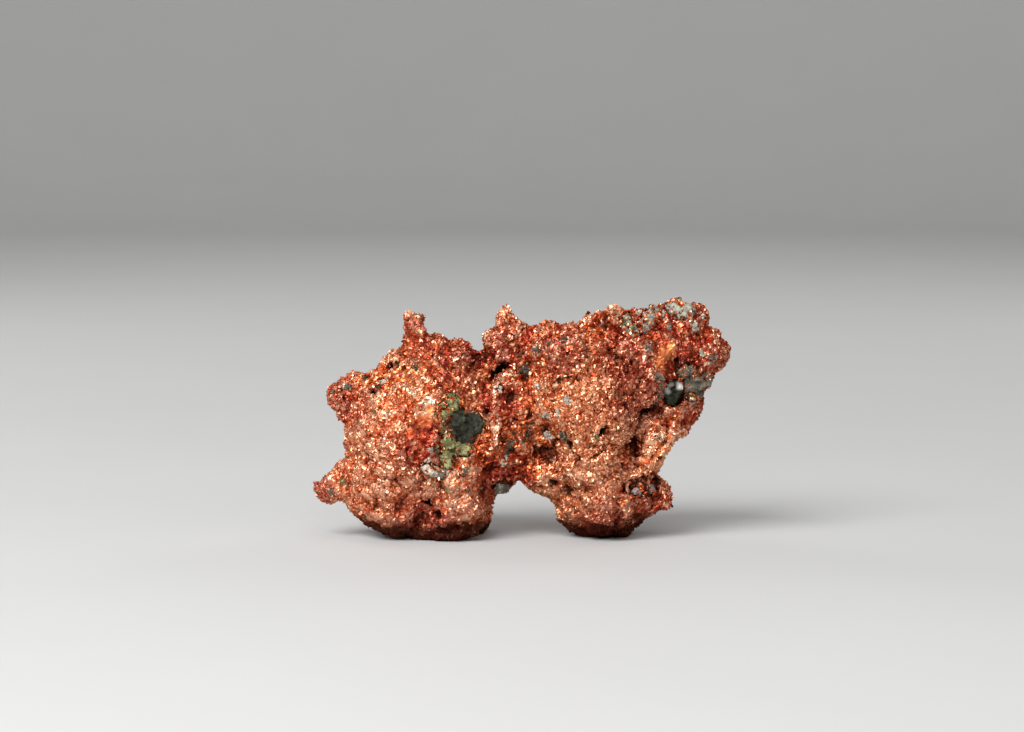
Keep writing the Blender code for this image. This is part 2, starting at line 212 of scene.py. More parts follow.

# Parts of the front, mostly low down, that get painted shade: x and z on the middle plane and radius
SHADED_SPOTS = (
    (-5.4, 1.4, 1.9), (-4.3, 4.2, 1.2), (-9.6, 0.4, 2.3), (-13.9, 0.4, 1.9), (-19.0, 0.7, 2.2),
    (-22.1, 3.3, 0.9), (11.3, 0.4, 2.9), (14.5, 1.0, 1.4), (7.7, 2.1, 1.1), (5.5, 5.0, 1.4),
    (1.9, 6.8, 1.1),
)

# Small mineral patches in the front: x and z on the middle plane and radius
PATCHES = {
    "calcite": (
        (-19.9, 22.4, 0.5), (-18.9, 20.4, 0.3), (-19.5, 17.3, 0.3), (-13.6, 10.4, 0.4), (-10.6, 9.4, 0.3),
        (-13.0, 12.4, 0.35), (-3.5, 21.2, 0.3), (6.6, 19.2, 0.5), (5.2, 17.5, 0.4), (3.4, 17.2, 0.4),
        (3.8, 14.4, 0.5), (16.9, 32.2, 0.5), (25.0, 29.7, 0.5), (25.0, 30.4, 0.4), (26.1, 31.6, 0.4),
        (23.2, 33.7, 0.4), (26.1, 26.3, 0.3), (2.2, 21.5, 0.3), (-2.1, 10.8, 0.4), (-2.6, 10.1, 0.3),
    ),
    "quartz": (
        (-27.3, 20.8, 0.5), (-25.2, 21.5, 0.5), (-27.6, 6.0, 0.5), (2.0, 26.8, 0.4), (3.8, 27.9, 0.4),
        (5.7, 28.4, 0.4), (0.5, 23.9, 0.5), (18.2, 27.0, 0.5), (21.3, 30.2, 0.4), (5.7, 14.3, 0.5),
        (20.2, 22.4, 0.5), (20.0, 21.2, 0.4), (20.3, 20.0, 0.4), (19.5, 22.9, 0.4), (26.7, 22.2, 0.4),
        (27.6, 22.8, 0.4), (24.7, 19.2, 0.4), (27.6, 25.2, 0.5), (0.7, 13.5, 0.4), (-7.5, 6.3, 0.35),
        (-8.2, 9.1, 0.35),
    ),
    "epidote": (
        (-25.9, 7.8, 0.5), (-12.1, 12.4, 0.4), (-10.9, 10.2, 0.4), (-10.7, 9.4, 0.3), (-11.2, 17.2, 0.4),
        (-11.2, 15.8, 0.35), (-11.2, 14.9, 0.35), (-8.3, 9.1, 0.3), (-10.7, 6.4, 0.3), (2.6, 5.7, 0.4),
        (10.9, 14.0, 0.3), (-21.4, 17.9, 0.3), (-9.2, 20.6, 0.4), (-7.4, 12.9, 0.4),
    ),
    "chlorite": (
        (-5.6, 16.2, 0.5), (-22.6, 22.8, 0.3), (-20.6, 21.7, 0.5), (-15.4, 24.1, 0.4), (-18.2, 24.8, 0.3),
        (-7.8, 6.4, 0.3), (-1.6, 13.4, 0.5), (-1.8, 11.9, 0.5), (1.8, 16.0, 0.4), (1.4, 14.6, 0.6),
        (4.3, 7.1, 0.6), (6.2, 7.8, 0.5), (19.3, 14.3, 0.3), (19.3, 18.9, 0.5), (1.9, 22.2, 0.4),
        (-12.2, 10.0, 0.3), (-9.6, 20.9, 0.3),
    ),
}

# Broad changes of tone right through the mass: x, z and radius
TONES = {
    "pink": (
        (-23.0, 10.1, 4.9), (-21.5, 15.9, 3.7), (-25.4, 7.9, 3.4), (-17.5, 4.3, 4.4), (-9.6, 5.0, 3.8),
        (11.6, 7.6, 4.9), (12.7, 4.3, 3.4), (12.6, 20.2, 4.2), (8.8, 17.0, 3.2),
    ),
    "gold": (
        (-15.2, 26.4, 3.2), (-2.4, 28.9, 1.5), (9.8, 20.2, 6.0), (8.5, 15.0, 4.0), (-7.4, 20.9, 3.2),
        (20.2, 10.1, 2.9), (5.5, 4.3, 3.2),
    ),
    "crimson": (
        (25.5, 27.4, 5.2), (19.8, 30.3, 3.7), (29.3, 25.0, 2.9), (17.0, 22.4, 3.7), (-8.6, 25.0, 2.9),
        (-26.4, 19.8, 2.6), (25.6, 18.1, 2.6), (-13.9, 13.7, 2.6), (-29.3, 6.8, 1.7), (-3.1, 20.2, 2.3),
        (14.1, 26.7, 2.6), (19.2, 4.3, 2.9), (-13.2, 0.6, 3.8), (11.3, 0.2, 3.6), (-14.9, 28.5, 2.3),
        (-2.0, 27.8, 2.3), (28.2, 21.8, 3.4), (5.5, 27.2, 2.6), (-2.4, 7.9, 2.6),
    ),
}

# The minerals that small copper crystals have partly grown across, and how bare each is left
OVERGROWN = {
    "chlorite_pocket": 1.75, "epidote_streak": 1.3, "epidote_cap": 1.15, "epidote_edge": 0.95,
    "calcite_crest": 1.25, "calcite_edge": 0.95, "calcite_streak": 1.4, "quartz_cluster": 1.3,
    "quartz_in_hook": 1.3, "quartz_beside_hook": 1.3,
}

# Spots on the front, each x, z and radius: where the copper is smooth, stained with ochre or drawn out in
# curled ridges, where the quartz at the hook and the calcite streak are cloudy white, and where the green
# crystal has a painted highlight at its upper right and painted light along its left rim
SMOOTH = (
    (-14.0, 16.3, 0.9), (-15.5, 14.9, 0.9), (-13.2, 18.1, 0.7), (-14.9, 13.0, 0.6), (17.7, 10.9, 1.0),
    (18.7, 12.1, 1.2), (19.6, 13.3, 1.1), (20.5, 14.2, 0.9), (20.8, 26.1, 0.9), (20.1, 25.1, 0.6),
    (21.4, 27.0, 0.6),
)
OCHRE = ((20.8, 26.1, 1.2), (20.1, 25.1, 0.9), (21.4, 27.0, 0.9), (18.2, 11.0, 0.8))
CURLED = ((11.0, 20.0, 6.0), (13.0, 23.5, 3.5), (8.5, 23.0, 3.5), (13.0, 12.5, 3.5), (-20.5, 10.5, 4.0))
MILKY_HOOK = ((18.3, 7.0, 1.0), (16.4, 6.9, 0.8))
GREEN_HIGHLIGHTS = ((22.7, 22.1, 0.5), (20.7, 22.3, 0.4), (20.5, 21.6, 0.3))
MILKY_STREAK = ((-13.0, 10.7, 0.7), (-11.8, 10.1, 0.5))


# ---------------------------------------------------------------- settings


def length(name, description, default):
    return FloatProperty(name=name, description=description, default=default, min=0.0, precision=5,
                         subtype="DISTANCE", unit="LENGTH")


def colour(name, description, default):
    return FloatVectorProperty(name=name, description=description, default=default, size=3, min=0.0,
                               max=1.0, subtype="COLOR")


def amount(name, description, default, unit="NONE"):
    return FloatProperty(name=name, description=description, default=default, min=0.0, unit=unit)


def whole(name, description, default):
    return IntProperty(name=name, description=description, default=default, min=0)


class CopperSettings(bpy.types.PropertyGroup):
    """Sizes and colours of the copper"""

    cell: length("Cell", "Size of the cells that the copper surface is drawn with", 0.278 * MM)
    crust: length("Crust", "Thickness that is left for the crust of crystals", 0.38 * MM)
    nodule_size: length("Nodule Size", "Width of the knobs on the copper", 2.4 * MM)
    nodule_height: length("Nodule Height", "How far the knobs stand out", 0.7 * MM)
    grain_size: length("Grain Size", "Width of the grains of the copper surface", 0.75 * MM)
    grain_height: length("Grain Height", "How far the grains stand out", 0.26 * MM)
    ridge_size: length("Ridge Spacing", "Spacing of the curled ridges", 1.3 * MM)
    ridge_height: length("Ridge Height", "How far the curled ridges stand out", 0.4 * MM)
    hole_size: length("Hole Spacing", "Spacing of the small holes all over", 1.7 * MM)
    hole_depth: length("Hole Depth", "Depth of the small holes all over", 0.5 * MM)
    smallest: length("Smallest Crystal", "Width of the smallest crystals of the crust", 0.26 * MM)
    largest: length("Largest Crystal", "Width of the largest crystals of the crust", 0.82 * MM)
    density: amount("Crystal Density", "Crystals to each square metre of copper", 9.5e6)
    seed: whole("Seed", "Changes where the crystals and grains lie", 11)
    # The darkest colour is painted shade; the deep red is the copper's own oxide and painted shade too
    dark: colour("Hollow Shade", "Copper in the hollows", (0.026, 0.006, 0.004))
    deep: colour("Deep Red", "Copper under a film of oxide", (0.20, 0.028, 0.012))
    flame: colour("Flame", "Clean copper with a vivid film", (0.68, 0.10, 0.028))
    salmon: colour("Salmon", "Clean copper", (0.94, 0.235, 0.072))
    bright: colour("Bright", "Freshly broken copper", (0.99, 0.385, 0.17))
    pale: colour("Pale", "The palest crystal faces", (0.99, 0.63, 0.42))
    pink: colour("Pink", "Paler copper of the flanks", (0.97, 0.38, 0.20))
    gold: colour("Gold", "Yellower copper near the tops", (0.97, 0.40, 0.14))
    crimson: colour("Crimson", "Redder copper with a film of red oxide", (0.36, 0.042, 0.036))
    ochre: colour("Ochre", "Earthy stain on the copper", (0.82, 0.30, 0.105))


class MineralSettings(bpy.types.PropertyGroup):
    """Sizes and colours of the minerals"""

    cell: length("Cell", "Size of the cells that a mineral's surface is drawn with", 0.13 * MM)
    far_patches: whole("Far Patches", "Mineral patches on the back and sides", 34)
    far_pits: whole("Far Pits", "Dark pits on the back and sides", 14)
    seed: whole("Seed", "Changes where the far patches and pits lie", 5)
    chlorite_dark: colour("Chlorite", "Heart of the scaly chlorite", (0.036, 0.034, 0.026))
    chlorite_green: colour("Green Chlorite", "Fresh scales at the rim", (0.085, 0.095, 0.062))
    epidote: colour("Epidote", "Pistachio green sugary grains", (0.12, 0.105, 0.042))
    epidote_pale: colour("Pale Epidote", "Paler green grains", (0.37, 0.37, 0.17))
    quartz: colour("Quartz", "Grey translucent quartz", (0.30, 0.25, 0.18))
    quartz_dark: colour("Dark Quartz", "Smoky quartz over the dark behind it", (0.105, 0.09, 0.064))
    calcite: colour("Calcite", "White calcite", (0.43, 0.41, 0.345))
    calcite_grey: colour("Grey Calcite", "Calcite clouded grey", (0.19, 0.165, 0.125))
    glass: colour("Green Crystal", "Glassy green crystal", (0.06, 0.068, 0.035))


class StageSettings(bpy.types.PropertyGroup):
    """Floor, lights and camera"""

    floor_radius: length("Floor Radius", "Radius of the flat floor", 1.1)
    cove_radius: length("Cove Radius", "Radius of the curve between floor and wall", 0.45)
    wall_height: length("Wall Height", "Height of the wall behind the cove", 1.7)
    floor_colour: colour("Floor", "Pale floor and wall", (0.54, 0.54, 0.535))
    key: amount("Key Power", "Power of the main light", 5.9, "POWER")
    fill: amount("Fill Power", "Power of the light from the right", 0.25, "POWER")
    front: amount("Front Power", "Power of the light over the camera", 2.4, "POWER")
    top: amount("Top Power", "Power of the light above", 0.6, "POWER")
    rim: amount("Rim Power", "Power of the lights behind", 0.5, "POWER")
    wall: amount("Wall Power", "Power of the lights that face the wall", 5.0, "POWER")
    world: amount("World Strength", "Strength of the even light", 0.06)


# ---------------------------------------------------------------- node helpers


class Value:
    """A number socket that Python arithmetic turns into Math nodes."""

    def __init__(self, tree, socket):
        self.tree = tree
        self.socket = socket

    def __add__(self, other):
        return self.tree.math("ADD", self, other)

    def __sub__(self, other):
        return self.tree.math("SUBTRACT", self, other)

    def __rsub__(self, other):
        return self.tree.math("SUBTRACT", other, self)

    def __mul__(self, other):
        return self.tree.math("MULTIPLY", self, other)

    def __rtruediv__(self, other):
        return self.tree.math("DIVIDE", other, self)

    def __pow__(self, other):
        return self.tree.math("POWER", self, other)

    __radd__ = __add__
    __rmul__ = __mul__

    def clamped(self):
        return self.tree.math("ADD", self, 0.0, clamp=True)


class Tree:
    """Adds nodes to one shader or geometry tree."""

    def __init__(self, tree):
        self.tree = tree
        tree.nodes.clear()

    def node(self, kind, settings=None, inputs=None, output=0):
        """Adds a node, settings first and then sockets. Gives an output, or the node if output is None."""
        made = self.tree.nodes.new(kind)
        for key, value in (settings or {}).items():
            if key == "stops":
                self.set_stops(made.color_ramp, value)
            else:
                setattr(made, key, value)
        for key, value in (inputs or {}).items():
            if isinstance(value, Value):
                self.tree.links.new(value.socket, made.inputs[key])
            else:
                made.inputs[key].default_value = value
        return made if output is None else Value(self, made.outputs[output])

    @staticmethod
    def set_stops(ramp, stops):
        while len(ramp.elements) < len(stops):
            ramp.elements.new(1.0)
        for element, (position, shade) in zip(ramp.elements, stops):
            element.position = position
            element.color = (*shade, 1.0)

    def split(self, kind, value):
        """Every output of a node that takes a vector or a colour apart."""
        return [Value(self, socket) for socket in self.node(kind, None, {0: value}, None).outputs]

    def math(self, operation, *values, clamp=False):
        return self.node("ShaderNodeMath", {"operation": operation, "use_clamp": clamp},
                         dict(enumerate(values)))

    def vector(self, operation, *values, scale=None, output=0):
        inputs = dict(enumerate(values))
        if scale is not None:
            inputs["Scale"] = scale
        return self.node("ShaderNodeVectorMath", {"operation": operation}, inputs, output)

    def step(self, value, low, high):
        """0 below low and 1 above high, with a smooth change between."""
        return self.node("ShaderNodeMapRange", {"interpolation_type": "SMOOTHSTEP"},
                         {"Value": value, "From Min": low, "From Max": high})

    def noise(self, place, scale, detail=2.0, roughness=0.5, distortion=0.0, output=0):
        return self.node("ShaderNodeTexNoise", None,
                         {"Vector": place, "Scale": scale, "Detail": detail, "Roughness": roughness,
                          "Distortion": distortion}, output)

    def lines(self, field, sharpness):
        """1 along the winding lines where a noise passes its middle value, and 0 away from them."""
        return (1.0 - self.math("ABSOLUTE", field - 0.5) * sharpness).clamped()

    def mix(self, factor, first, second):
        """Mixes two colours, which are the Mix node's sockets 6 and 7 and its output 2."""
        first, second = (c if isinstance(c, Value) else (*c, 1.0) for c in (first, second))
        return self.node("ShaderNodeMix", {"data_type": "RGBA"}, {0: factor, 6: first, 7: second}, 2)

    def attribute(self, name, output="Fac"):
        """A painted attribute in a material."""
        return self.node("ShaderNodeAttribute", {"attribute_name": name}, None, output)

    def named(self, name):
        """A painted attribute in a geometry tree."""
        return self.node("GeometryNodeInputNamedAttribute", {"data_type": "FLOAT"}, {"Name": name})

    def store(self, geometry, name, value, domain="POINT"):
        return self.node("GeometryNodeStoreNamedAttribute", {"data_type": "FLOAT", "domain": domain},
                         {"Geometry": geometry, "Name": name, "Value": value})

    def random_vector(self, low, high, seed):
        return self.node("FunctionNodeRandomValue", {"data_type": "FLOAT_VECTOR"},
                         {0: (low,) * 3, 1: (high,) * 3, "Seed": seed})

    def end(self, geometry, finish):
        """Ends a geometry tree: nothing under the floor, plain mesh, in this finish."""
        position = self.node("GeometryNodeInputPosition")
        x, y, z = self.split("ShaderNodeSeparateXYZ", position)
        raised = self.node("ShaderNodeCombineXYZ", None, {0: x, 1: y, 2: self.math("MAXIMUM", z, 0.0)})
        lifted = self.node("GeometryNodeSetPosition", None, {"Geometry": geometry, "Position": raised})
        plain = self.node("GeometryNodeRealizeInstances", None, {"Geometry": lifted})
        dressed = self.node("GeometryNodeSetMaterial", None, {"Geometry": plain, "Material": finish})
        self.node("NodeGroupOutput", None, {0: dressed}, None)


# The geometry tree's socket for each kind of default
NUMBER_SOCKETS = {
    float: "NodeSocketFloat", int: "NodeSocketInt", bool: "NodeSocketBool", str: "NodeSocketString",
}


def shaded(colour_under, share):
    return tuple(c * share for c in colour_under)


def finish_tree(name):
    """A new material and its tree, with the nugget's own coordinates in millimetres."""
    material = bpy.data.materials.new(f"{name}_finish")
    material.use_nodes = True
    tree = Tree(material.node_tree)
    coordinates = tree.node("ShaderNodeTexCoord", output="Object")
    return material, tree, tree.vector("SCALE", coordinates, scale=1.0 / MM)


def surface(tree, settings):
    """Ends a material's tree in one Principled shader with these sockets."""
    shader = tree.node("ShaderNodeBsdfPrincipled", None, settings)
    tree.node("ShaderNodeOutputMaterial", None, {"Surface": shader}, None)


def bump(tree, height, strength, distance):
    return tree.node("ShaderNodeBump", None, {"Height": height, "Strength": strength, "Distance": distance})


def geometry_group(name, holders, defaults):
    """A geometry tree with these named inputs, and the inputs as values."""
    group = bpy.data.node_groups.new(name, "GeometryNodeTree")
    group.is_modifier = True
    for way in ("OUTPUT", "INPUT"):
        group.interface.new_socket(name="Geometry", in_out=way, socket_type="NodeSocketGeometry")
    for label, kind in holders.items():
        group.interface.new_socket(name=label, in_out="INPUT", socket_type=kind)
    for label, default in defaults.items():
        kind = NUMBER_SOCKETS[type(default)]
        group.interface.new_socket(name=label, in_out="INPUT", socket_type=kind).default_value = default
    tree = Tree(group)
    start = tree.node("NodeGroupInput", output=None)
    return group, tree, {s.name: Value(tree, s) for s in start.outputs if s.name}


def run_group(piece, group, values):
    """Puts a geometry tree on a piece with these inputs, then makes the result its plain mesh."""
    modifier = piece.modifiers.new(group.name, "NODES")
    modifier.node_group = group
    for item in group.interface.items_tree:
        if item.in_out == "INPUT" and item.name in values:
            modifier[item.identifier] = values[item.name]
    applied(piece)


# ---------------------------------------------------------------- mesh helpers


def new_object(name, mesh):
    made = bpy.data.objects.new(name, mesh)
    bpy.context.scene.collection.objects.link(made)
    return made


def built_mesh(name, built):
    """A new mesh from a bmesh, which is then freed."""
    mesh = bpy.data.meshes.new(name)
    built.to_mesh(mesh)
    built.free()
    return mesh


def built_object(name, built):
    return new_object(name, built_mesh(name, built))


def applied(piece):
    """Makes the piece's modified shape its plain mesh."""
    bpy.context.view_layer.update()
    depsgraph = bpy.context.evaluated_depsgraph_get()
    mesh = bpy.data.meshes.new_from_object(piece.evaluated_get(depsgraph), preserve_all_data_layers=True,
                                           depsgraph=depsgraph)
    old = piece.data
    piece.modifiers.clear()
    piece.data = mesh
    bpy.data.meshes.remove(old)
    if not mesh.polygons:
        raise RuntimeError(f"{piece.name} came out empty")


def cad_copy(node, name):
    """A new object with a merged copy of a CAD node's mesh."""
    built = bmesh.new()
    built.from_mesh(frame["nodes"][node].data)
    bmesh.ops.remove_doubles(built, verts=built.verts, dist=1e-6)
    return built_object(name, built)


def remesh(piece, cell):
    modifier = piece.modifiers.new("Remesh", "REMESH")
    modifier.mode = "VOXEL"
    modifier.voxel_size = cell
    applied(piece)


def read(values, name, width=1):
    """The numbers of one kind that Blender holds for each of some vertices or attribute values."""
    found = np.empty(len(values) * width, np.float32)
    values.foreach_get(name, found)
    return found if width == 1 else found.reshape(-1, width).astype(float)


def places(mesh):
    return read(mesh.vertices, "co", 3)


def normals(mesh):
    return read(mesh.vertex_normals, "vector", 3)


def move(mesh, co):
    mesh.vertices.foreach_set("co", co.astype(np.float32).ravel())
    mesh.update()


def paint(mesh, name, values):
    """Stores one number a vertex, or one colour a vertex if values has three columns."""
    if values.ndim == 2:
        layer = mesh.attributes.new(name, "FLOAT_COLOR", "POINT")
        data = np.concatenate([values, np.ones((len(values), 1))], 1)
        layer.data.foreach_set("color", data.astype(np.float32).ravel())
    else:
        layer = mesh.attributes.new(name, "FLOAT", "POINT")
        layer.data.foreach_set("value", values.astype(np.float32))


def painted_values(mesh, name):
    """The numbers that paint stored."""
    return read(mesh.attributes[name].data, "value")


def along(corners, step):
    """Points every step along a line of corners."""
    for (x, z), (far_x, far_z) in zip(corners, corners[1:]):
        count = max(int(math.hypot(far_x - x, far_z - z) / step), 1)
        for number in range(count):
            yield x + (far_x - x) * number / count, z + (far_z - z) * number / count


def painted(co, spots, soft, wobble=1.0):
    """1 inside the spots and 0 outside, with soft edges that wobble. A spot is a centre and a radius."""
    weight = np.zeros(len(co))
    for centre, radius in spots:
        away = np.linalg.norm(co - np.array(centre), axis=1) / radius
        weight = np.maximum(weight, np.clip((1.0 + soft - away * wobble) / soft, 0.0, 1.0))
    return weight


def lump_field(co, size, strength):
    """About 1, give or take strength, in lumps of this size."""
    return np.array([1.0 + strength * noise.noise(Vector(p) / size) for p in co])


def hollowness(mesh, rounds):
    """How far each vertex lies below the smoothed surface round it."""
    co = places(mesh)
    edges = np.empty(len(mesh.edges) * 2, np.int32)
    mesh.edges.foreach_get("vertices", edges)
    first, second = edges.reshape(-1, 2).T
    ends = np.concatenate([first, second])
    others = np.concatenate([second, first])
    count = np.maximum(np.bincount(ends, minlength=len(co)), 1)[:, None]
    smooth = co.copy()
    for _ in range(rounds):
        summed = [np.bincount(ends, smooth[others, axis], len(co)) for axis in range(3)]
        smooth = np.stack(summed, 1) / count
    return ((smooth - co) * normals(mesh)).sum(1)


def surface_tree(mesh):
    """A tree of a mesh's faces that rays can be cast at."""
    return BVHTree.FromPolygons(places(mesh).tolist(), [p.vertices[:] for p in mesh.polygons])


def seat(tree, x, z):
    """Where the eye sees the point (x, 0, z) of the middle plane on the front, and the normal there."""
    target = Vector((x, 0.0, z)) * MM
    place, normal, _, _ = tree.ray_cast(EYE, (target - EYE).normalized())
    if place is None:
        place, normal, _, _ = tree.find_nearest(target)
    return place, normal


def seated(tree, table):
    """The spots of a table of x, z and radius, on the front."""
    return [(seat(tree, x, z)[0], radius * MM) for x, z, radius in table]


def flat_spots(table, y=0.0):
    """The spots of a table of x, z and radius, on the plane at this y."""
    return [(Vector((x, y / MM, z)) * MM, radius * MM) for x, z, radius in table]


def far_seats(tree, count, rng, radius, depth):
    """Seeded seats on the back, the ends and the top, each with a normal, a radius and a depth."""
    found = []
    while len(found) < count:
        turn = rng.uniform(0.0, math.tau)
        rise = rng.uniform(*FAR_RISE)
        way = Vector((math.cos(turn), math.sin(turn), rise)).normalized()
        middle = Vector([rng.uniform(*span) for span in FAR_AIMS]) * MM
        size = rng.uniform(*radius) * MM
        deep = rng.uniform(*depth) * MM
        if way.y < -0.25:
            continue
        place, normal, _, _ = tree.ray_cast(middle + way * FAR_START * MM, -way)
        if place is not None and normal.y > -0.2 and place.y > FAR_FRONT * MM:
            found.append((place, normal, size, deep))
    return found


def crystal_shapes(name, kinds):
    """A collection of small closed shapes about 1 across, one for each bmesh in kinds."""
    holder = bpy.data.collections.new(name)
    bpy.context.scene.collection.children.link(holder)
    for number, built in enumerate(kinds):
        bmesh.ops.recalc_face_normals(built, faces=built.faces)
        mesh = built_mesh(f"{name}_{number}", built)
        mesh.shade_flat()
        holder.objects.link(bpy.data.objects.new(mesh.name, mesh))
    return holder


def remove_shapes(holder):
    for shape in list(holder.objects):
        bpy.data.meshes.remove(shape.data)
    bpy.data.collections.remove(holder)


def hull(rng, corners, size):
    """An irregular convex crystal: the hull of points scattered on an ellipsoid."""
    points = rng.normal(size=(corners, 3))
    points /= np.linalg.norm(points, axis=1)[:, None]
    points *= 0.5 * np.array(size)
    built = bmesh.new()
    for point in points:
        built.verts.new(point)
    found = bmesh.ops.convex_hull(built, input=built.verts)
    inside = [v for v in found["geom_interior"] if isinstance(v, bmesh.types.BMVert)]
    bmesh.ops.delete(built, geom=inside, context="VERTS")
    return built


def wire(rng, rings, sides):
    """A short bent wire that lies along X and bows up, thinning to its ends."""
    built = bmesh.new()
    bend = rng.uniform(1.0, 2.2)
    rows = []
    for number in range(rings):
        along = number / (rings - 1) * 2.0 - 1.0
        turn = along * bend / 2.0
        middle = Vector((math.sin(turn), rng.uniform(-0.05, 0.05), math.cos(turn) - 1.0)) / bend
        thick = 0.15 * math.sqrt(max(1.0 - along * along, 0.0)) + 0.05
        across = [Vector((math.sin(turn) * math.cos(a), math.sin(a), math.cos(turn) * math.cos(a)))
                  for a in np.arange(sides) / sides * math.tau]
        rows.append([built.verts.new(middle + c * thick * rng.uniform(0.8, 1.2)) for c in across])
    for row, after in zip(rows, rows[1:]):
        for number in range(sides):
            beside = (number + 1) % sides
            built.faces.new((row[number], row[beside], after[beside], after[number]))
    built.faces.new(rows[0][::-1])
    built.faces.new(rows[-1])
    bmesh.ops.triangulate(built, faces=built.faces)
    return built


def prism(rng, sides, slim, point):
    """A crystal column along Z with a pointed end."""
    built = bmesh.new()
    turns = np.arange(sides) / sides * math.tau
    reach = slim * rng.uniform(0.85, 1.15, sides)
    rings = [[built.verts.new((r * math.cos(a), r * math.sin(a), z)) for a, r in zip(turns, reach)]
             for z in (-0.5, 0.5 - point)]
    tip = built.verts.new((rng.uniform(-0.05, 0.05), rng.uniform(-0.05, 0.05), 0.5))
    for number in range(sides):
        beside = (number + 1) % sides
        built.faces.new((rings[0][number], rings[0][beside], rings[1][beside], rings[1][number]))
        built.faces.new((rings[1][number], rings[1][beside], tip))
    built.faces.new(rings[0][::-1])
    bmesh.ops.triangulate(built, faces=built.faces)
    return built


def rhomb(rng, slant):
    """A slanted box like a cleaved rhomb."""
    built = bmesh.new()
    bmesh.ops.create_cube(built, size=0.62)
    lean = rng.uniform(0.6, 1.0) * slant
    for vertex in built.verts:
        vertex.co.x += lean * vertex.co.z + lean * 0.5 * vertex.co.y
        vertex.co.y += lean * 0.6 * vertex.co.z
    bmesh.ops.triangulate(built, faces=built.faces)
    return built


# ---------------------------------------------------------------- geometry trees


def hackly_group(values):
    """Roughens a surface into knobs, grains, curled ridges and small holes."""
    group, tree, inputs = geometry_group("Hackly Surface", {"Finish": "NodeSocketMaterial"}, values)
    position = tree.node("GeometryNodeInputPosition")
    normal = tree.node("GeometryNodeInputNormal")
    seed = inputs["Seed"]
    shift = tree.node("ShaderNodeCombineXYZ", None, {"X": seed * 0.37, "Y": seed * 0.11})
    place = tree.vector("ADD", position, shift)
    warp = tree.noise(place, scale=330.0, detail=1.0, output=1)
    warp = tree.vector("SUBTRACT", warp, (0.5, 0.5, 0.5))
    place = tree.vector("ADD", place, tree.vector("SCALE", warp, scale=WARP))

    nodules = tree.noise(place, 1.0 / inputs["Nodule Size"]) - 0.5
    cells = tree.node("ShaderNodeTexVoronoi", None,
                      {"Vector": place, "Scale": 1.0 / inputs["Grain Size"]}, None)
    grains = (1.0 - Value(tree, cells.outputs["Distance"]) * 1.5).clamped()
    wave = tree.noise(place, 1.0 / inputs["Ridge Spacing"], detail=1.0, distortion=0.8)
    ridges = tree.lines(wave, sharpness=9.0)
    holes = tree.step(tree.noise(place, 1.0 / inputs["Hole Spacing"]), low=0.63, high=0.72)
    quiet = 1.0 - tree.named("smooth") * 0.85
    height = nodules * inputs["Nodule Height"] * 2.0 + grains * inputs["Grain Height"] * quiet
    height = height + ridges * inputs["Ridge Height"] * tree.named("curled")
    height = height - holes * inputs["Hole Depth"] * quiet
    level = tree.split("ShaderNodeSeparateXYZ", position)[2]
    height = height * tree.step(level, *FLAT_FOOT)
    rattle = tree.random_vector(-1.0, 1.0, seed)
    offset = tree.vector("ADD", tree.vector("SCALE", normal, scale=height),
                         tree.vector("SCALE", rattle, scale=inputs["Jitter"]))
    moved = tree.node("GeometryNodeSetPosition", None, {"Geometry": inputs["Geometry"], "Offset": offset})
    red = tree.split("FunctionNodeSeparateColor", Value(tree, cells.outputs["Color"]))[0]
    tree.end(tree.store(moved, "tint", red), inputs["Finish"])
    return group


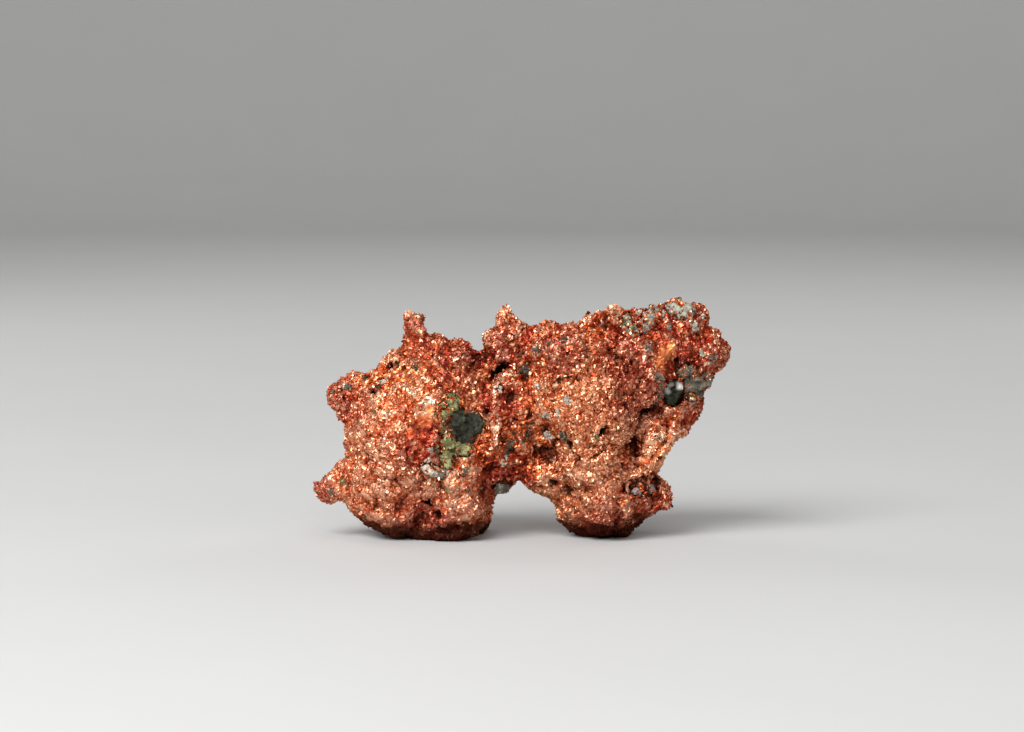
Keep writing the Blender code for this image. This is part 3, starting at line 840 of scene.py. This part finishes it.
def scatter_group():
    """Scatters crystals over a surface where a painted mask allows, turned at random or laid along it."""
    holders = {"Shapes": "NodeSocketCollection", "Finish": "NodeSocketMaterial"}
    group, tree, inputs = geometry_group("Crystal Scatter", holders, {
        "Mask": "", "Density": 1e6, "Smallest": 0.0003, "Largest": 0.0008, "Upright": 0.0, "Swirl": 0.0,
        "Sink": 0.1, "From X": -1.0, "To X": 1.0, "Keep Surface": False, "Seed": 1,
    })
    position = tree.node("GeometryNodeInputPosition")
    x = tree.split("ShaderNodeSeparateXYZ", position)[0]
    inside = tree.math("GREATER_THAN", x, inputs["From X"]) * tree.math("LESS_THAN", x, inputs["To X"])
    points = tree.node("GeometryNodeDistributePointsOnFaces", {"distribute_method": "RANDOM"}, {
        "Mesh": inputs["Geometry"], "Density": inputs["Density"] * tree.named(inputs["Mask"]) * inside,
        "Seed": inputs["Seed"]}, None)
    normal = Value(tree, points.outputs["Normal"])

    def chance(offset):
        return tree.node("FunctionNodeRandomValue", {"data_type": "FLOAT"},
                         {2: 0.0, 3: 1.0, "Seed": inputs["Seed"] + offset}, 1)

    size = inputs["Smallest"] + (inputs["Largest"] - inputs["Smallest"]) * chance(1.0) ** 1.6
    flow = tree.noise(position, scale=260.0, detail=1.0) * 14.0
    spin = chance(2.0) * math.tau * (1.0 - inputs["Swirl"]) + flow * inputs["Swirl"]
    turned = tree.node("FunctionNodeEulerToRotation", None,
                       {0: tree.node("ShaderNodeCombineXYZ", None, {"Z": spin})})
    laid = tree.node("FunctionNodeAlignRotationToVector", {"axis": "Z"},
                     {"Rotation": turned, "Vector": normal})
    tumble = tree.random_vector(0.0, math.tau, inputs["Seed"] + 3.0)
    tumbled = tree.node("FunctionNodeEulerToRotation", None, {0: tumble})
    turn = tree.node("ShaderNodeMix", {"data_type": "ROTATION"},
                     {0: 1.0 - inputs["Upright"], 8: laid, 9: tumbled}, 3)
    sunk = tree.node("GeometryNodeSetPosition", None, {
        "Geometry": Value(tree, points.outputs["Points"]),
        "Offset": tree.vector("SCALE", normal, scale=size * inputs["Sink"] * -1.0)})
    shapes = tree.node("GeometryNodeCollectionInfo", {"transform_space": "ORIGINAL"},
                       {"Collection": inputs["Shapes"], "Separate Children": True, "Reset Children": True})
    crystals = tree.node("GeometryNodeInstanceOnPoints", None, {
        "Points": sunk, "Instance": shapes, "Pick Instance": True, "Rotation": turn,
        "Scale": tree.node("ShaderNodeCombineXYZ", None, {0: size, 1: size, 2: size})})
    tinted = tree.store(crystals, "tint", chance(4.0), "INSTANCE")
    loose = tree.node("GeometryNodeRealizeInstances", None, {"Geometry": tinted})
    nearest = tree.node("GeometryNodeProximity", {"target_element": "FACES"},
                        {"Geometry": inputs["Geometry"]})
    outward = tree.node("GeometryNodeSampleNearestSurface", {"data_type": "FLOAT_VECTOR"},
                        {"Mesh": inputs["Geometry"], "Value": tree.node("GeometryNodeInputNormal")})
    away = tree.vector("SUBTRACT", position, nearest)
    rise = tree.vector("DOT_PRODUCT", away, outward, output=1) * (1.0 / MM)
    risen = tree.store(loose, "rise", rise)
    kept = tree.node("GeometryNodeSwitch", {"input_type": "GEOMETRY"},
                     {"Switch": inputs["Keep Surface"], "True": inputs["Geometry"]})
    joined = tree.node("GeometryNodeJoinGeometry")
    for part in (kept, risen):
        tree.tree.links.new(part.socket, joined.socket.node.inputs[0])
    tree.end(joined, inputs["Finish"])
    return group


def scatter(piece, group, shapes, mask, density, sizes, sink, seed, finish, **more):
    """Scatters crystals over a piece where its mask allows. More holds the other inputs of the tree."""
    run_group(piece, group, {
        "Shapes": shapes, "Mask": mask, "Density": density, "Smallest": sizes[0], "Largest": sizes[1],
        "Sink": sink, "Seed": seed, "Finish": finished(finish), **more})


# ---------------------------------------------------------------- finishes


def copper_finish(settings):
    """Copper that runs from deep red through salmon to bright broken faces, with painted shade and
    highlights.
    """
    material, tree, place = finish_tree("native_copper")
    tint = tree.attribute("tint")
    smooth = tree.attribute("smooth")
    # Painted shade low on each crystal, near the surface it sits on, joined to the painted shade of the
    # hollows
    crystal_base_shade = 1.0 - tree.step(tree.attribute("rise"), low=-0.1, high=0.2)
    hollow = tree.math("MAXIMUM", tree.attribute("hollow"), crystal_base_shade * 0.85)
    pink, gold, crimson = tree.split("ShaderNodeSeparateColor", tree.attribute("region", "Color"))
    fine = tree.noise(place, scale=1.9, roughness=0.6)
    broad = tree.noise(place, scale=0.2, detail=3.0, roughness=0.6)
    curls = tree.lines(tree.noise(place, scale=0.8, distortion=0.8), sharpness=8.0)
    away = tree.vector("ADD", place, (17.0, 5.0, 9.0))
    winding = tree.noise(away, scale=0.6, detail=3.0, roughness=0.6, distortion=0.8)
    # Painted shade along thin winding lines, like gaps between the curls
    crack_shade = tree.lines(winding, sharpness=12.0)
    hollow = tree.math("MAXIMUM", hollow, crack_shade * 0.6 * (1.0 - smooth))
    tone = tint * 1.1 + (fine - 0.5) * 0.6 + (broad - 0.5) * 0.9 + (curls - 0.3) * 0.45
    # Painted light on the bulges, with a little painted shade away from them
    tone = tone + (tree.attribute("proud") - 0.3) * 0.65
    tone = tone - 0.03 + pink * 0.28 + gold * 0.24 - crimson * 0.13
    tone = tone * (1.0 - smooth * 0.7) + smooth * 0.4
    stops = [(0.0, settings.deep), (0.22, settings.flame), (0.46, settings.salmon), (0.7, settings.bright),
             (0.95, settings.pale)]
    shade = tree.node("ShaderNodeValToRGB", {"stops": stops}, {"Fac": tone})
    film = tree.step(tree.noise(place, scale=0.55, detail=3.0, roughness=0.65), low=0.55, high=0.68)
    stain = tree.step(tree.noise(place, scale=1.1, detail=3.0, roughness=0.65), low=0.58, high=0.7)
    # The last two mixes are painted shade: deep red in hollows, pits and creases, darkest where deepest
    for share, colour_over in (
        (pink * 0.35, settings.pink), (gold * 0.3, settings.gold),
        (crimson * (1.15 - tint).clamped() * 0.9, settings.crimson),
        (film * (1.1 - tint).clamped() * 0.75, settings.flame), (stain * 0.6, settings.deep),
        (tree.attribute("ochre") * 0.65, settings.ochre), ((hollow * 1.3).clamped() * 0.75, settings.deep),
        (tree.step(hollow, low=0.4, high=1.05), settings.dark),
    ):
        shade = tree.mix(share, shade, colour_over)
    rough = 0.25 + fine * 0.2 + hollow * 0.25 + smooth * 0.25
    pocks = tree.noise(place, scale=9.0, detail=3.0, roughness=0.6)
    surface(tree, {"Base Color": shade, "Metallic": 1.0, "Specular Tint": EDGE_TINT, "Roughness": rough,
                   "Normal": bump(tree, pocks, strength=0.35, distance=0.05 * MM)})
    return material


def grain_finish(name, light, dark, roughness, extra=None, veins=None, milk_and_highlight=MILK):
    """A mineral in grains of two colours, each grain a little different, with veins of a third."""
    _, tree, place = finish_tree(name)
    tint = tree.attribute("tint")
    cloud = tree.noise(place, scale=0.9, detail=4.0, roughness=0.65)
    shade = tree.mix(tree.step(cloud + (tint - 0.5) * 0.3, low=0.4, high=0.66), dark, light)
    specks = tree.step(tree.noise(place, scale=2.2, detail=4.0, roughness=0.65), low=0.52, high=0.68)
    shade = tree.mix(specks * 0.7, shade, veins or shaded(dark, 0.35))
    # Cloudy white spots, and on the green crystal a painted highlight and painted light along its rim
    shade = tree.mix(tree.attribute("milky"), shade, milk_and_highlight)
    height = tree.noise(place, scale=7.0, detail=3.0, roughness=0.6)
    surface(tree, {"Base Color": shade, "Roughness": cloud * 0.25 + roughness, "Specular IOR Level": 0.1,
                   "Normal": bump(tree, height, strength=0.5, distance=0.08 * MM), **(extra or {})})


# ---------------------------------------------------------------- operators


def dress(piece, nodes=()):
    """Shades a finished piece flat, rides it on the nugget and hides the CAD nodes that it stands for."""
    piece.data.shade_flat()
    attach(piece, "root")
    if nodes:
        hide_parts(*nodes)


def finished(name):
    """A material that an earlier operator made."""
    if f"{name}_finish" not in bpy.data.materials:
        raise RuntimeError(f"build the piece that makes the finish {name} first")
    return bpy.data.materials[f"{name}_finish"]


def mineral_finishes(settings):
    grain_finish("chlorite", settings.chlorite_green, settings.chlorite_dark, 0.65)
    grain_finish("epidote", settings.epidote_pale, settings.epidote, 0.6)
    grain_finish("worn_epidote", *WORN_EPIDOTE, 0.6)
    grain_finish("calcite", settings.calcite, settings.calcite_grey, 0.5, veins=settings.epidote)
    grain_finish("tan_calcite", *TAN_CALCITE, 0.5)
    grain_finish("pale_calcite", *PALE_CALCITE, 0.5, veins=settings.calcite_grey)
    clear = {"Transmission Weight": 0.35, "IOR": 1.54, "Specular IOR Level": 0.15}
    grain_finish("quartz", settings.quartz, settings.quartz_dark, 0.2, clear, milk_and_highlight=QUARTZ_MILK)
    glassy = {"Transmission Weight": 0.1, "IOR": 1.6, "Specular IOR Level": 0.05}
    dark = shaded(settings.glass, 0.12)
    grain_finish("glassy_green", settings.glass, dark, 0.12, glassy, milk_and_highlight=GLASS_HIGHLIGHT)


def carved(co, out, tree, wobble, crust, far_pits):
    """Where the copper lies once its pits and creases are sunk, and how deep each place is in either."""
    pits = [(*seat(tree, x, z), radius * MM * PIT_SPREAD, depth * MM) for x, z, radius, depth in PITS]
    moved = co - out * crust
    sunk = np.zeros(len(co))
    for place, normal, radius, depth in pits + far_pits:
        away = np.linalg.norm(co - np.array(place), axis=1) / radius * wobble
        push = np.clip(1.0 - (away / 1.5) ** 2, 0.0, 1.0) ** 1.5
        moved -= np.outer(push * depth, np.array(normal))
        sunk = np.maximum(sunk, np.clip(1.6 - away, 0.0, 1.0))
    for x, z, radius, front in FILLED:
        weight = painted(co, seated(tree, [(x, z, radius)]), 1.0)
        moved[:, 1] += weight * (np.minimum(moved[:, 1], -front * MM) - moved[:, 1])
    grooved = np.zeros(len(co))
    for corners, radius, depth in CREASES:
        line = seated(tree, [(x, z, radius) for x, z in along(corners, CREASE_STEP)])
        weight = painted(co, line, 1.2, wobble)
        moved -= out * (weight * depth * MM)[:, None]
        grooved = np.maximum(grooved, weight)
    floor = np.clip(co[:, 2:] / (FOOT_FADE * MM), 0.0, 1.0)
    return co + (moved - co) * floor, sunk, grooved


def painted_shade_below(co, out, tree, wobble):
    """How strong the painted shade is on the underside, low round the feet and on the shaded spots."""
    facing_down = np.clip(-out[:, 2] * 1.5 - 0.05, 0.0, 1.0)
    underside = facing_down * np.clip(1.0 - co[:, 2] / (UNDERSIDE_SHADE * MM), 0.0, 1.0)
    feet = np.clip(1.15 - co[:, 2] / (FEET_SHADE * MM) * wobble, 0.0, 1.2) ** 1.6
    spots = painted(co, seated(tree, SHADED_SPOTS), 1.0, wobble)
    return np.maximum(underside * 0.9 + feet * 0.75, spots * 0.55)


class NUGGET_OT_copper_body(bpy.types.Operator):
    """Build the copper mass with its knobs, grains, curled ridges and pits"""

    bl_idname = "nugget.copper_body"
    bl_label = "Copper Body"

    def execute(self, context):
        settings = context.scene.nugget_copper
        minerals = context.scene.nugget_minerals
        piece = cad_copy("copper_mass", "copper_body")
        remesh(piece, settings.cell)
        mesh = piece.data
        co, out, tree = places(mesh), normals(mesh), surface_tree(mesh)
        rng = np.random.default_rng(minerals.seed)
        wobble = lump_field(co, 0.7 * MM, 0.35)
        far_pits = far_seats(tree, minerals.far_pits, rng, FAR_PIT_RADII, FAR_PIT_DEPTHS)
        moved, sunk, grooved = carved(co, out, tree, wobble, settings.crust, far_pits)
        # Painted shade under the nugget, round its feet, on the shaded spots and along the creases
        shade = np.maximum(painted_shade_below(co, out, tree, wobble) * 0.9, grooved * 0.4)

        kinds = sorted(PATCHES)
        far = far_seats(tree, minerals.far_patches, rng, FAR_PATCH_RADII, FAR_PATCH_DEPTHS)
        covered = np.zeros(len(co))
        for number, kind in enumerate(kinds):
            spots = seated(tree, PATCHES[kind])
            spots += [(place, radius) for place, _, radius, _ in far[number::len(kinds)]]
            weight = painted(co, spots, 0.25, wobble)
            paint(mesh, kind, weight)
            covered = np.maximum(covered, weight)
        tones = [painted(co * FLATTEN, flat_spots(TONES[tone]), 0.9, wobble)
                 for tone in ("pink", "gold", "crimson")]
        paint(mesh, "region", np.stack(tones, 1))
        for name, table in (("smooth", SMOOTH), ("curled", CURLED), ("ochre", OCHRE)):
            paint(mesh, name, painted(co, seated(tree, table), 0.4, wobble))
        paint(mesh, "pit", sunk)
        paint(mesh, "shade", np.clip(shade, 0.0, DARKEST))
        paint(mesh, "covered", covered)
        move(mesh, moved)

        values = {settings.bl_rna.properties[key].name: getattr(settings, key) for key in HACKLY_SETTINGS}
        values["Jitter"] = settings.cell * 0.15
        run_group(piece, hackly_group(values), {"Finish": copper_finish(settings), **values})
        mesh = piece.data
        narrow = hollowness(mesh, rounds=3) / (0.09 * MM)
        wide = hollowness(mesh, rounds=40) / (0.36 * MM)
        names = ("pit", "smooth", "covered", "shade")
        pit, smooth, covered, shade = (painted_values(mesh, name) for name in names)
        # Painted shade in the hollows, the pits, the creases, under the nugget and round its feet
        hollow = np.clip(0.2 * narrow + 0.48 * wide - 0.04, 0.0, DARKEST)
        paint(mesh, "hollow", np.maximum(np.maximum(hollow, pit), shade))
        # Painted light on the bulges
        paint(mesh, "proud", np.clip(-wide * 1.2, 0.0, 1.0))
        # A little painted shade on the copper between the crystals, none where it is smooth
        paint(mesh, "rise", 0.15 + 0.25 * smooth)
        clear = np.clip((places(mesh)[:, 2] - 0.35 * MM) / (0.3 * MM), 0.0, 1.0)
        open_copper = (1.0 - np.clip(pit * 1.4, 0.0, 1.0)) * (1.0 - covered) * (1.0 - 0.75 * smooth) * clear
        paint(mesh, "bare", open_copper)
        dress(piece, ["copper_mass"])
        return {"FINISHED"}


def hulls(rng, count, corners, size):
    return [hull(rng, corners, size) for _ in range(count)]


def rhombs(rng, count):
    return [rhomb(rng, 0.35) for _ in range(count)]


def chunk_shapes(rng):
    """Blocky, platy and sharp crystals of copper."""
    return crystal_shapes("chunks", [
        hull(rng, int(rng.integers(7, 10)), rng.uniform((0.9, 0.7, 0.35), (1.5, 1.1, 0.8)))
        for _ in range(18)])


class NUGGET_OT_copper_crust(bpy.types.Operator):
    """Cover the copper with small crystals and bent wires of copper"""

    bl_idname = "nugget.copper_crust"
    bl_label = "Copper Crust"

    def execute(self, context):
        settings = context.scene.nugget_copper
        body = bpy.data.objects["copper_body"].data
        rng = np.random.default_rng(settings.seed)
        chunks = chunk_shapes(rng)
        wires = crystal_shapes("wires", [wire(rng, 4, 4) for _ in range(8)])
        group = scatter_group()
        sizes = (settings.smallest, settings.largest)
        low, high = CAD_BOX[0].x, CAD_BOX[1].x
        wide = high - low
        cuts = [low - wide, low + CRUST_CUTS[0] * wide, 0.0, low + CRUST_CUTS[1] * wide, high + wide]
        for name, start, stop in zip(("far_left", "left", "middle", "right"), cuts, cuts[1:]):
            piece = new_object(f"copper_crystals_{name}", body.copy())
            scatter(piece, group, chunks, "bare", settings.density, sizes, 0.12, settings.seed + 1,
                    "native_copper", **{"From X": start, "To X": stop})
            dress(piece)
        piece = new_object("copper_wires", body.copy())
        sizes = (settings.largest * 0.9, settings.largest * 1.8)
        scatter(piece, group, wires, "bare", settings.density * WIRE_SHARE, sizes, 0.0, settings.seed + 7,
                "native_copper", Upright=0.9, Swirl=0.8)
        dress(piece)
        remove_shapes(chunks)
        remove_shapes(wires)
        return {"FINISHED"}


class NUGGET_OT_mineral_grains(bpy.types.Operator):
    """Scatter the small patches of calcite, quartz, epidote and chlorite grains"""

    bl_idname = "nugget.mineral_grains"
    bl_label = "Mineral Grains"

    def execute(self, context):
        settings = context.scene.nugget_minerals
        body = bpy.data.objects["copper_body"].data
        mineral_finishes(settings)
        rng = np.random.default_rng(settings.seed + 1)
        group = scatter_group()
        # The shapes of each mineral's grains, how many a square metre has, and their sizes in millimetres
        kinds = {
            "calcite": (rhombs(rng, 4) + hulls(rng, 3, 10, (1.0, 0.9, 0.7)), 18e6, 0.26, 0.6),
            "quartz": (hulls(rng, 4, 10, (1.0, 0.9, 0.8)) + [prism(rng, 6, 0.26, 0.3) for _ in range(3)],
                       14e6, 0.32, 0.7),
            "epidote": (hulls(rng, 5, 9, (1.0, 0.8, 0.7)), 22e6, 0.24, 0.5),
            "chlorite": (hulls(rng, 5, 9, (1.0, 0.9, 0.35)), 18e6, 0.26, 0.55),
        }
        for kind, (built, density, smallest, largest) in kinds.items():
            shapes = crystal_shapes(f"{kind}_shapes", built)
            piece = new_object(f"{kind}_grains", body.copy())
            scatter(piece, group, shapes, kind, density, (smallest * MM, largest * MM), -0.3,
                    settings.seed + 20, "pale_calcite" if kind == "calcite" else kind)
            dress(piece)
            remove_shapes(shapes)
        return {"FINISHED"}


def mineral_heart(node, name, swell=0.15, bites=0.35, spread=0.3):
    """A new object with a CAD mineral's shape grown lumpy, with parts of its rim bitten away."""
    piece = cad_copy(node, name)
    remesh(piece, bpy.context.scene.nugget_minerals.cell)
    mesh = piece.data
    co, out = places(mesh), normals(mesh)
    lumps = lump_field(co, 1.1 * MM, 1.8) + lump_field(co, 0.45 * MM, 1.0) - 1.0
    bitten = np.clip(lump_field(co + 0.1, 0.9 * MM, 1.0) * 3.2 - 3.6, 0.0, 1.0)
    grown = co + out * ((swell * lumps - bites * bitten) * MM)[:, None]
    grown += out * FLATTEN * spread * MM
    grown[:, 1] -= max(spread - 0.3, 0.0) * MM
    move(mesh, grown)
    paint(mesh, "all", np.ones(len(co)))
    paint(mesh, "tint", 0.5 * lump_field(co, 0.5 * MM, 0.8))
    return piece


def pocket_mineral(node, slot_name, built, density, sizes, upright=0.0, milky=(), look=None, **heart):
    """Builds one pocket mineral from its CAD node: a rough heart under crystals of its own."""
    settings = bpy.context.scene.nugget_minerals
    name = f"{node}_crystals"
    piece = mineral_heart(node, name, **heart)
    co = places(piece.data)
    paint(piece.data, "milky", painted(co, flat_spots(milky, co[:, 1].min()), 0.4))
    shapes = crystal_shapes(f"{name}_shapes", built)
    scatter(piece, scatter_group(), shapes, "all", density, (sizes[0] * MM, sizes[1] * MM), 0.15,
            settings.seed + 40, look or slot_name, **{"Upright": upright, "Keep Surface": True})
    remove_shapes(shapes)
    dress(piece, [node])


class NUGGET_OT_chlorite(bpy.types.Operator):
    """Build the dark scaly chlorite in its pocket"""

    bl_idname = "nugget.chlorite"
    bl_label = "Chlorite Pocket"

    def execute(self, context):
        rng = np.random.default_rng(3)
        pocket_mineral("chlorite_pocket", "chlorite", hulls(rng, 6, 9, (1.1, 0.9, 0.3)), density=9e6,
                       sizes=(0.25, 0.7), upright=0.6, bites=0.6, spread=0.42)
        return {"FINISHED"}


class NUGGET_OT_epidote(bpy.types.Operator):
    """Build the sugary green epidote above and below the chlorite and at the upper edge"""

    bl_idname = "nugget.epidote"
    bl_label = "Epidote"

    def execute(self, context):
        rng = np.random.default_rng(4)
        looks = {"epidote_streak": "epidote", "epidote_cap": "epidote", "epidote_edge": "worn_epidote"}
        for node, look in looks.items():
            pocket_mineral(node, "epidote", hulls(rng, 6, 9, (1.0, 0.8, 0.7)), density=12e6,
                           sizes=(0.2, 0.5), bites=0.6, look=look)
        return {"FINISHED"}


class NUGGET_OT_calcite(bpy.types.Operator):
    """Build the calcite patches and the white streak"""

    bl_idname = "nugget.calcite"
    bl_label = "Calcite Patches"

    def execute(self, context):
        rng = np.random.default_rng(5)
        unusual = {
            "calcite_streak": {"sizes": (0.2, 0.5), "milky": MILKY_STREAK, "spread": 0.25, "swell": 0.08},
            "calcite_bleb": {"look": "tan_calcite"},
        }
        for node in ("calcite_streak", "calcite_bleb", "calcite_crest", "calcite_edge"):
            ways = {"sizes": (0.3, 0.7), **unusual.get(node, {})}
            built = rhombs(rng, 5) + hulls(rng, 1, 10, (1.0, 0.8, 0.8))
            pocket_mineral(node, "calcite", built, density=5e6, **ways)
        return {"FINISHED"}


class NUGGET_OT_quartz(bpy.types.Operator):
    """Build the grey quartz beside the green crystal, under the bridge and at the hook"""

    bl_idname = "nugget.quartz"
    bl_label = "Quartz"

    def execute(self, context):
        rng = np.random.default_rng(6)
        by_hook = {"sizes": (0.35, 0.7), "spread": 0.0, "milky": MILKY_HOOK}
        for node, ways in (
            ("quartz_cluster", {"sizes": (0.5, 1.1)}), ("quartz_under_bridge", {"sizes": (0.5, 1.1)}),
            ("quartz_in_hook", by_hook), ("quartz_beside_hook", by_hook),
        ):
            built = [prism(rng, 6, 0.3, 0.35) for _ in range(4)] + hulls(rng, 1, 11, (1.0, 0.9, 0.8))
            pocket_mineral(node, "quartz", built, density=2.6e6, upright=0.5, **ways)
        return {"FINISHED"}


class NUGGET_OT_overgrowth(bpy.types.Operator):
    """Scatter small copper crystals over the minerals that the copper has partly grown across"""

    bl_idname = "nugget.overgrowth"
    bl_label = "Copper Overgrowth"

    def execute(self, context):
        settings = context.scene.nugget_copper
        shell = cad_copy("copper_mass", "copper_shell").data
        tree = surface_tree(shell)
        bpy.data.meshes.remove(shell)
        built = bmesh.new()
        for node, share in OVERGROWN.items():
            heart = mineral_heart(node, f"{node}_heart").data
            paint(heart, "bare", np.full(len(heart.vertices), share))
            built.from_mesh(heart)
            bpy.data.meshes.remove(heart)
        piece = built_object("copper_over_minerals", built)
        mesh = piece.data
        co = places(mesh)
        near = np.array([tree.find_nearest(p)[3] for p in co.tolist()]) / MM
        bare = painted_values(mesh, "bare")
        rim = np.clip(1.3 - near / 0.7, 0.0, 1.0) * (normals(mesh)[:, 1] < 0.3)
        rim *= np.clip(1.9 - bare, 0.0, 1.0)
        patches = lump_field(co, 0.8 * MM, 1.0)
        grown = np.clip((patches - bare) * 4.0, 0.0, 1.0) + rim * np.clip(patches, 0.0, 1.0)
        mesh.attributes["bare"].data.foreach_set("value", np.clip(grown, 0.0, 1.0).astype(np.float32))
        paint(mesh, "rise", np.full(len(co), 0.3))
        chunks = chunk_shapes(np.random.default_rng(settings.seed + 3))
        sizes = (settings.smallest, settings.largest * 0.9)
        scatter(piece, scatter_group(), chunks, "bare", settings.density, sizes, -0.3, settings.seed + 5,
                "native_copper")
        remove_shapes(chunks)
        dress(piece)
        return {"FINISHED"}


class NUGGET_OT_green_crystal(bpy.types.Operator):
    """Build the glassy green crystal as one faceted solid"""

    bl_idname = "nugget.green_crystal"
    bl_label = "Green Crystal"

    def execute(self, context):
        rng = np.random.default_rng(15)
        low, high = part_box("green_crystal")
        built = hull(rng, 16, tuple((high - low) * Vector(GREEN_GROWTH)))
        bmesh.ops.bevel(built, geom=built.edges, offset=0.04 * MM, segments=1, affect="EDGES",
                        clamp_overlap=True)
        bmesh.ops.triangulate(built, faces=built.faces)
        bmesh.ops.subdivide_edges(built, edges=built.edges, cuts=3, use_grid_fill=True)
        bmesh.ops.triangulate(built, faces=built.faces)
        bmesh.ops.translate(built, verts=built.verts, vec=(low + high) / 2 + Vector(GREEN_SHIFT) * MM)
        bmesh.ops.recalc_face_normals(built, faces=built.faces)
        piece = built_object("glassy_green_crystal", built)
        co = places(piece.data)
        paint(piece.data, "tint", 0.5 * lump_field(co, 0.8 * MM, 0.9))
        # Painted highlight at the crystal's upper right and painted light along its left rim
        paint(piece.data, "milky", painted(co * FLATTEN, flat_spots(GREEN_HIGHLIGHTS), 0.3))
        piece.data.materials.append(finished("glassy_green"))
        dress(piece, ["green_crystal"])
        return {"FINISHED"}


class NUGGET_OT_stage(bpy.types.Operator):
    """Build the pale floor with its cove, the soft lights and the camera"""

    bl_idname = "nugget.stage"
    bl_label = "Stage"

    def execute(self, context):
        settings = context.scene.nugget_stage
        self.floor(settings)
        scene = context.scene
        for name, power, share, size, place, aim in LAMPS:
            data = bpy.data.lights.new(name, "AREA")
            data.energy = getattr(settings, power) * share
            data.size = size
            lamp = new_object(name, data)
            lamp.location = place
            lamp.rotation_euler = (Vector(aim) - Vector(place)).to_track_quat("-Z", "Y").to_euler()
        scene.world = bpy.data.worlds.new("studio")
        scene.world.use_nodes = True
        sky = Tree(scene.world.node_tree)
        light = sky.node("ShaderNodeBackground", None, {"Color": SKY, "Strength": settings.world})
        sky.node("ShaderNodeOutputWorld", None, {"Surface": light}, None)

        camera = new_object("camera", bpy.data.cameras.new("camera"))
        camera.data.lens, camera.data.sensor_width = LENS, SENSOR
        camera.data.clip_start, camera.data.clip_end = 0.01, 20.0
        camera.location = EYE
        camera.rotation_euler = (AIM - EYE).to_track_quat("-Z", "Y").to_euler()
        scene.camera = camera
        scene.view_settings.view_transform = "Standard"
        return {"FINISHED"}

    @staticmethod
    def floor(settings):
        turn, cove = settings.floor_radius, settings.cove_radius
        profile = [(0.0, 0.0), (turn * 0.5, 0.0), (turn, 0.0)]
        profile += [(turn + cove * math.sin(a), cove - cove * math.cos(a))
                    for a in np.linspace(0.0, math.pi / 2, COVE_STEPS + 1)[1:]]
        profile.append((turn + cove, settings.wall_height))
        built = bmesh.new()
        verts = [built.verts.new((r, 0.0, z)) for r, z in profile]
        edges = [built.edges.new(pair) for pair in zip(verts, verts[1:])]
        bmesh.ops.spin(built, geom=verts + edges, cent=(0, 0, 0), axis=(0, 0, 1), angle=math.tau,
                       steps=WALL_STEPS, use_merge=True)
        bmesh.ops.remove_doubles(built, verts=built.verts, dist=1e-5)
        bmesh.ops.recalc_face_normals(built, faces=built.faces)
        if max(built.faces, key=lambda f: f.calc_center_median().length).normal.z < 0:
            bmesh.ops.reverse_faces(built, faces=built.faces)
        floor = built_object("floor", built)
        floor.data.shade_smooth()
        material, tree, place = finish_tree("pale_floor")
        pale = settings.floor_colour
        shade = tree.mix(tree.noise(place, scale=0.02, detail=3.0), tuple(pale), shaded(pale, 0.95))
        surface(tree, {"Base Color": shade, "Roughness": 0.65})
        floor.data.materials.append(material)
        return floor


class NUGGET_PT_panel(bpy.types.Panel):
    """The nugget's settings and operators"""

    bl_label = "Copper Nugget"
    bl_idname = "NUGGET_PT_panel"
    bl_space_type = "VIEW_3D"
    bl_region_type = "UI"
    bl_category = "Nugget"

    def draw(self, context):
        for group in ("nugget_copper", "nugget_minerals", "nugget_stage"):
            settings = getattr(context.scene, group)
            box = self.layout.box()
            for name in settings.bl_rna.properties.keys():
                if name not in ("rna_type", "name"):
                    box.prop(settings, name)
        for operator in OPERATORS:
            self.layout.operator(operator.bl_idname)


OPERATORS = (
    NUGGET_OT_copper_body, NUGGET_OT_copper_crust, NUGGET_OT_mineral_grains, NUGGET_OT_chlorite,
    NUGGET_OT_epidote, NUGGET_OT_calcite, NUGGET_OT_quartz, NUGGET_OT_overgrowth, NUGGET_OT_green_crystal,
    NUGGET_OT_stage,
)
CLASSES = (CopperSettings, MineralSettings, StageSettings, *OPERATORS, NUGGET_PT_panel)


def register():
    for kind in CLASSES:
        bpy.utils.register_class(kind)
    bpy.types.Scene.nugget_copper = PointerProperty(type=CopperSettings)
    bpy.types.Scene.nugget_minerals = PointerProperty(type=MineralSettings)
    bpy.types.Scene.nugget_stage = PointerProperty(type=StageSettings)


def unregister():
    del bpy.types.Scene.nugget_stage
    del bpy.types.Scene.nugget_minerals
    del bpy.types.Scene.nugget_copper
    for kind in reversed(CLASSES):
        bpy.utils.unregister_class(kind)


def main():
    register()
    for operator in OPERATORS:
        family, name = operator.bl_idname.split(".")
        getattr(getattr(bpy.ops, family), name)()


if __name__ == "__main__":
    main()
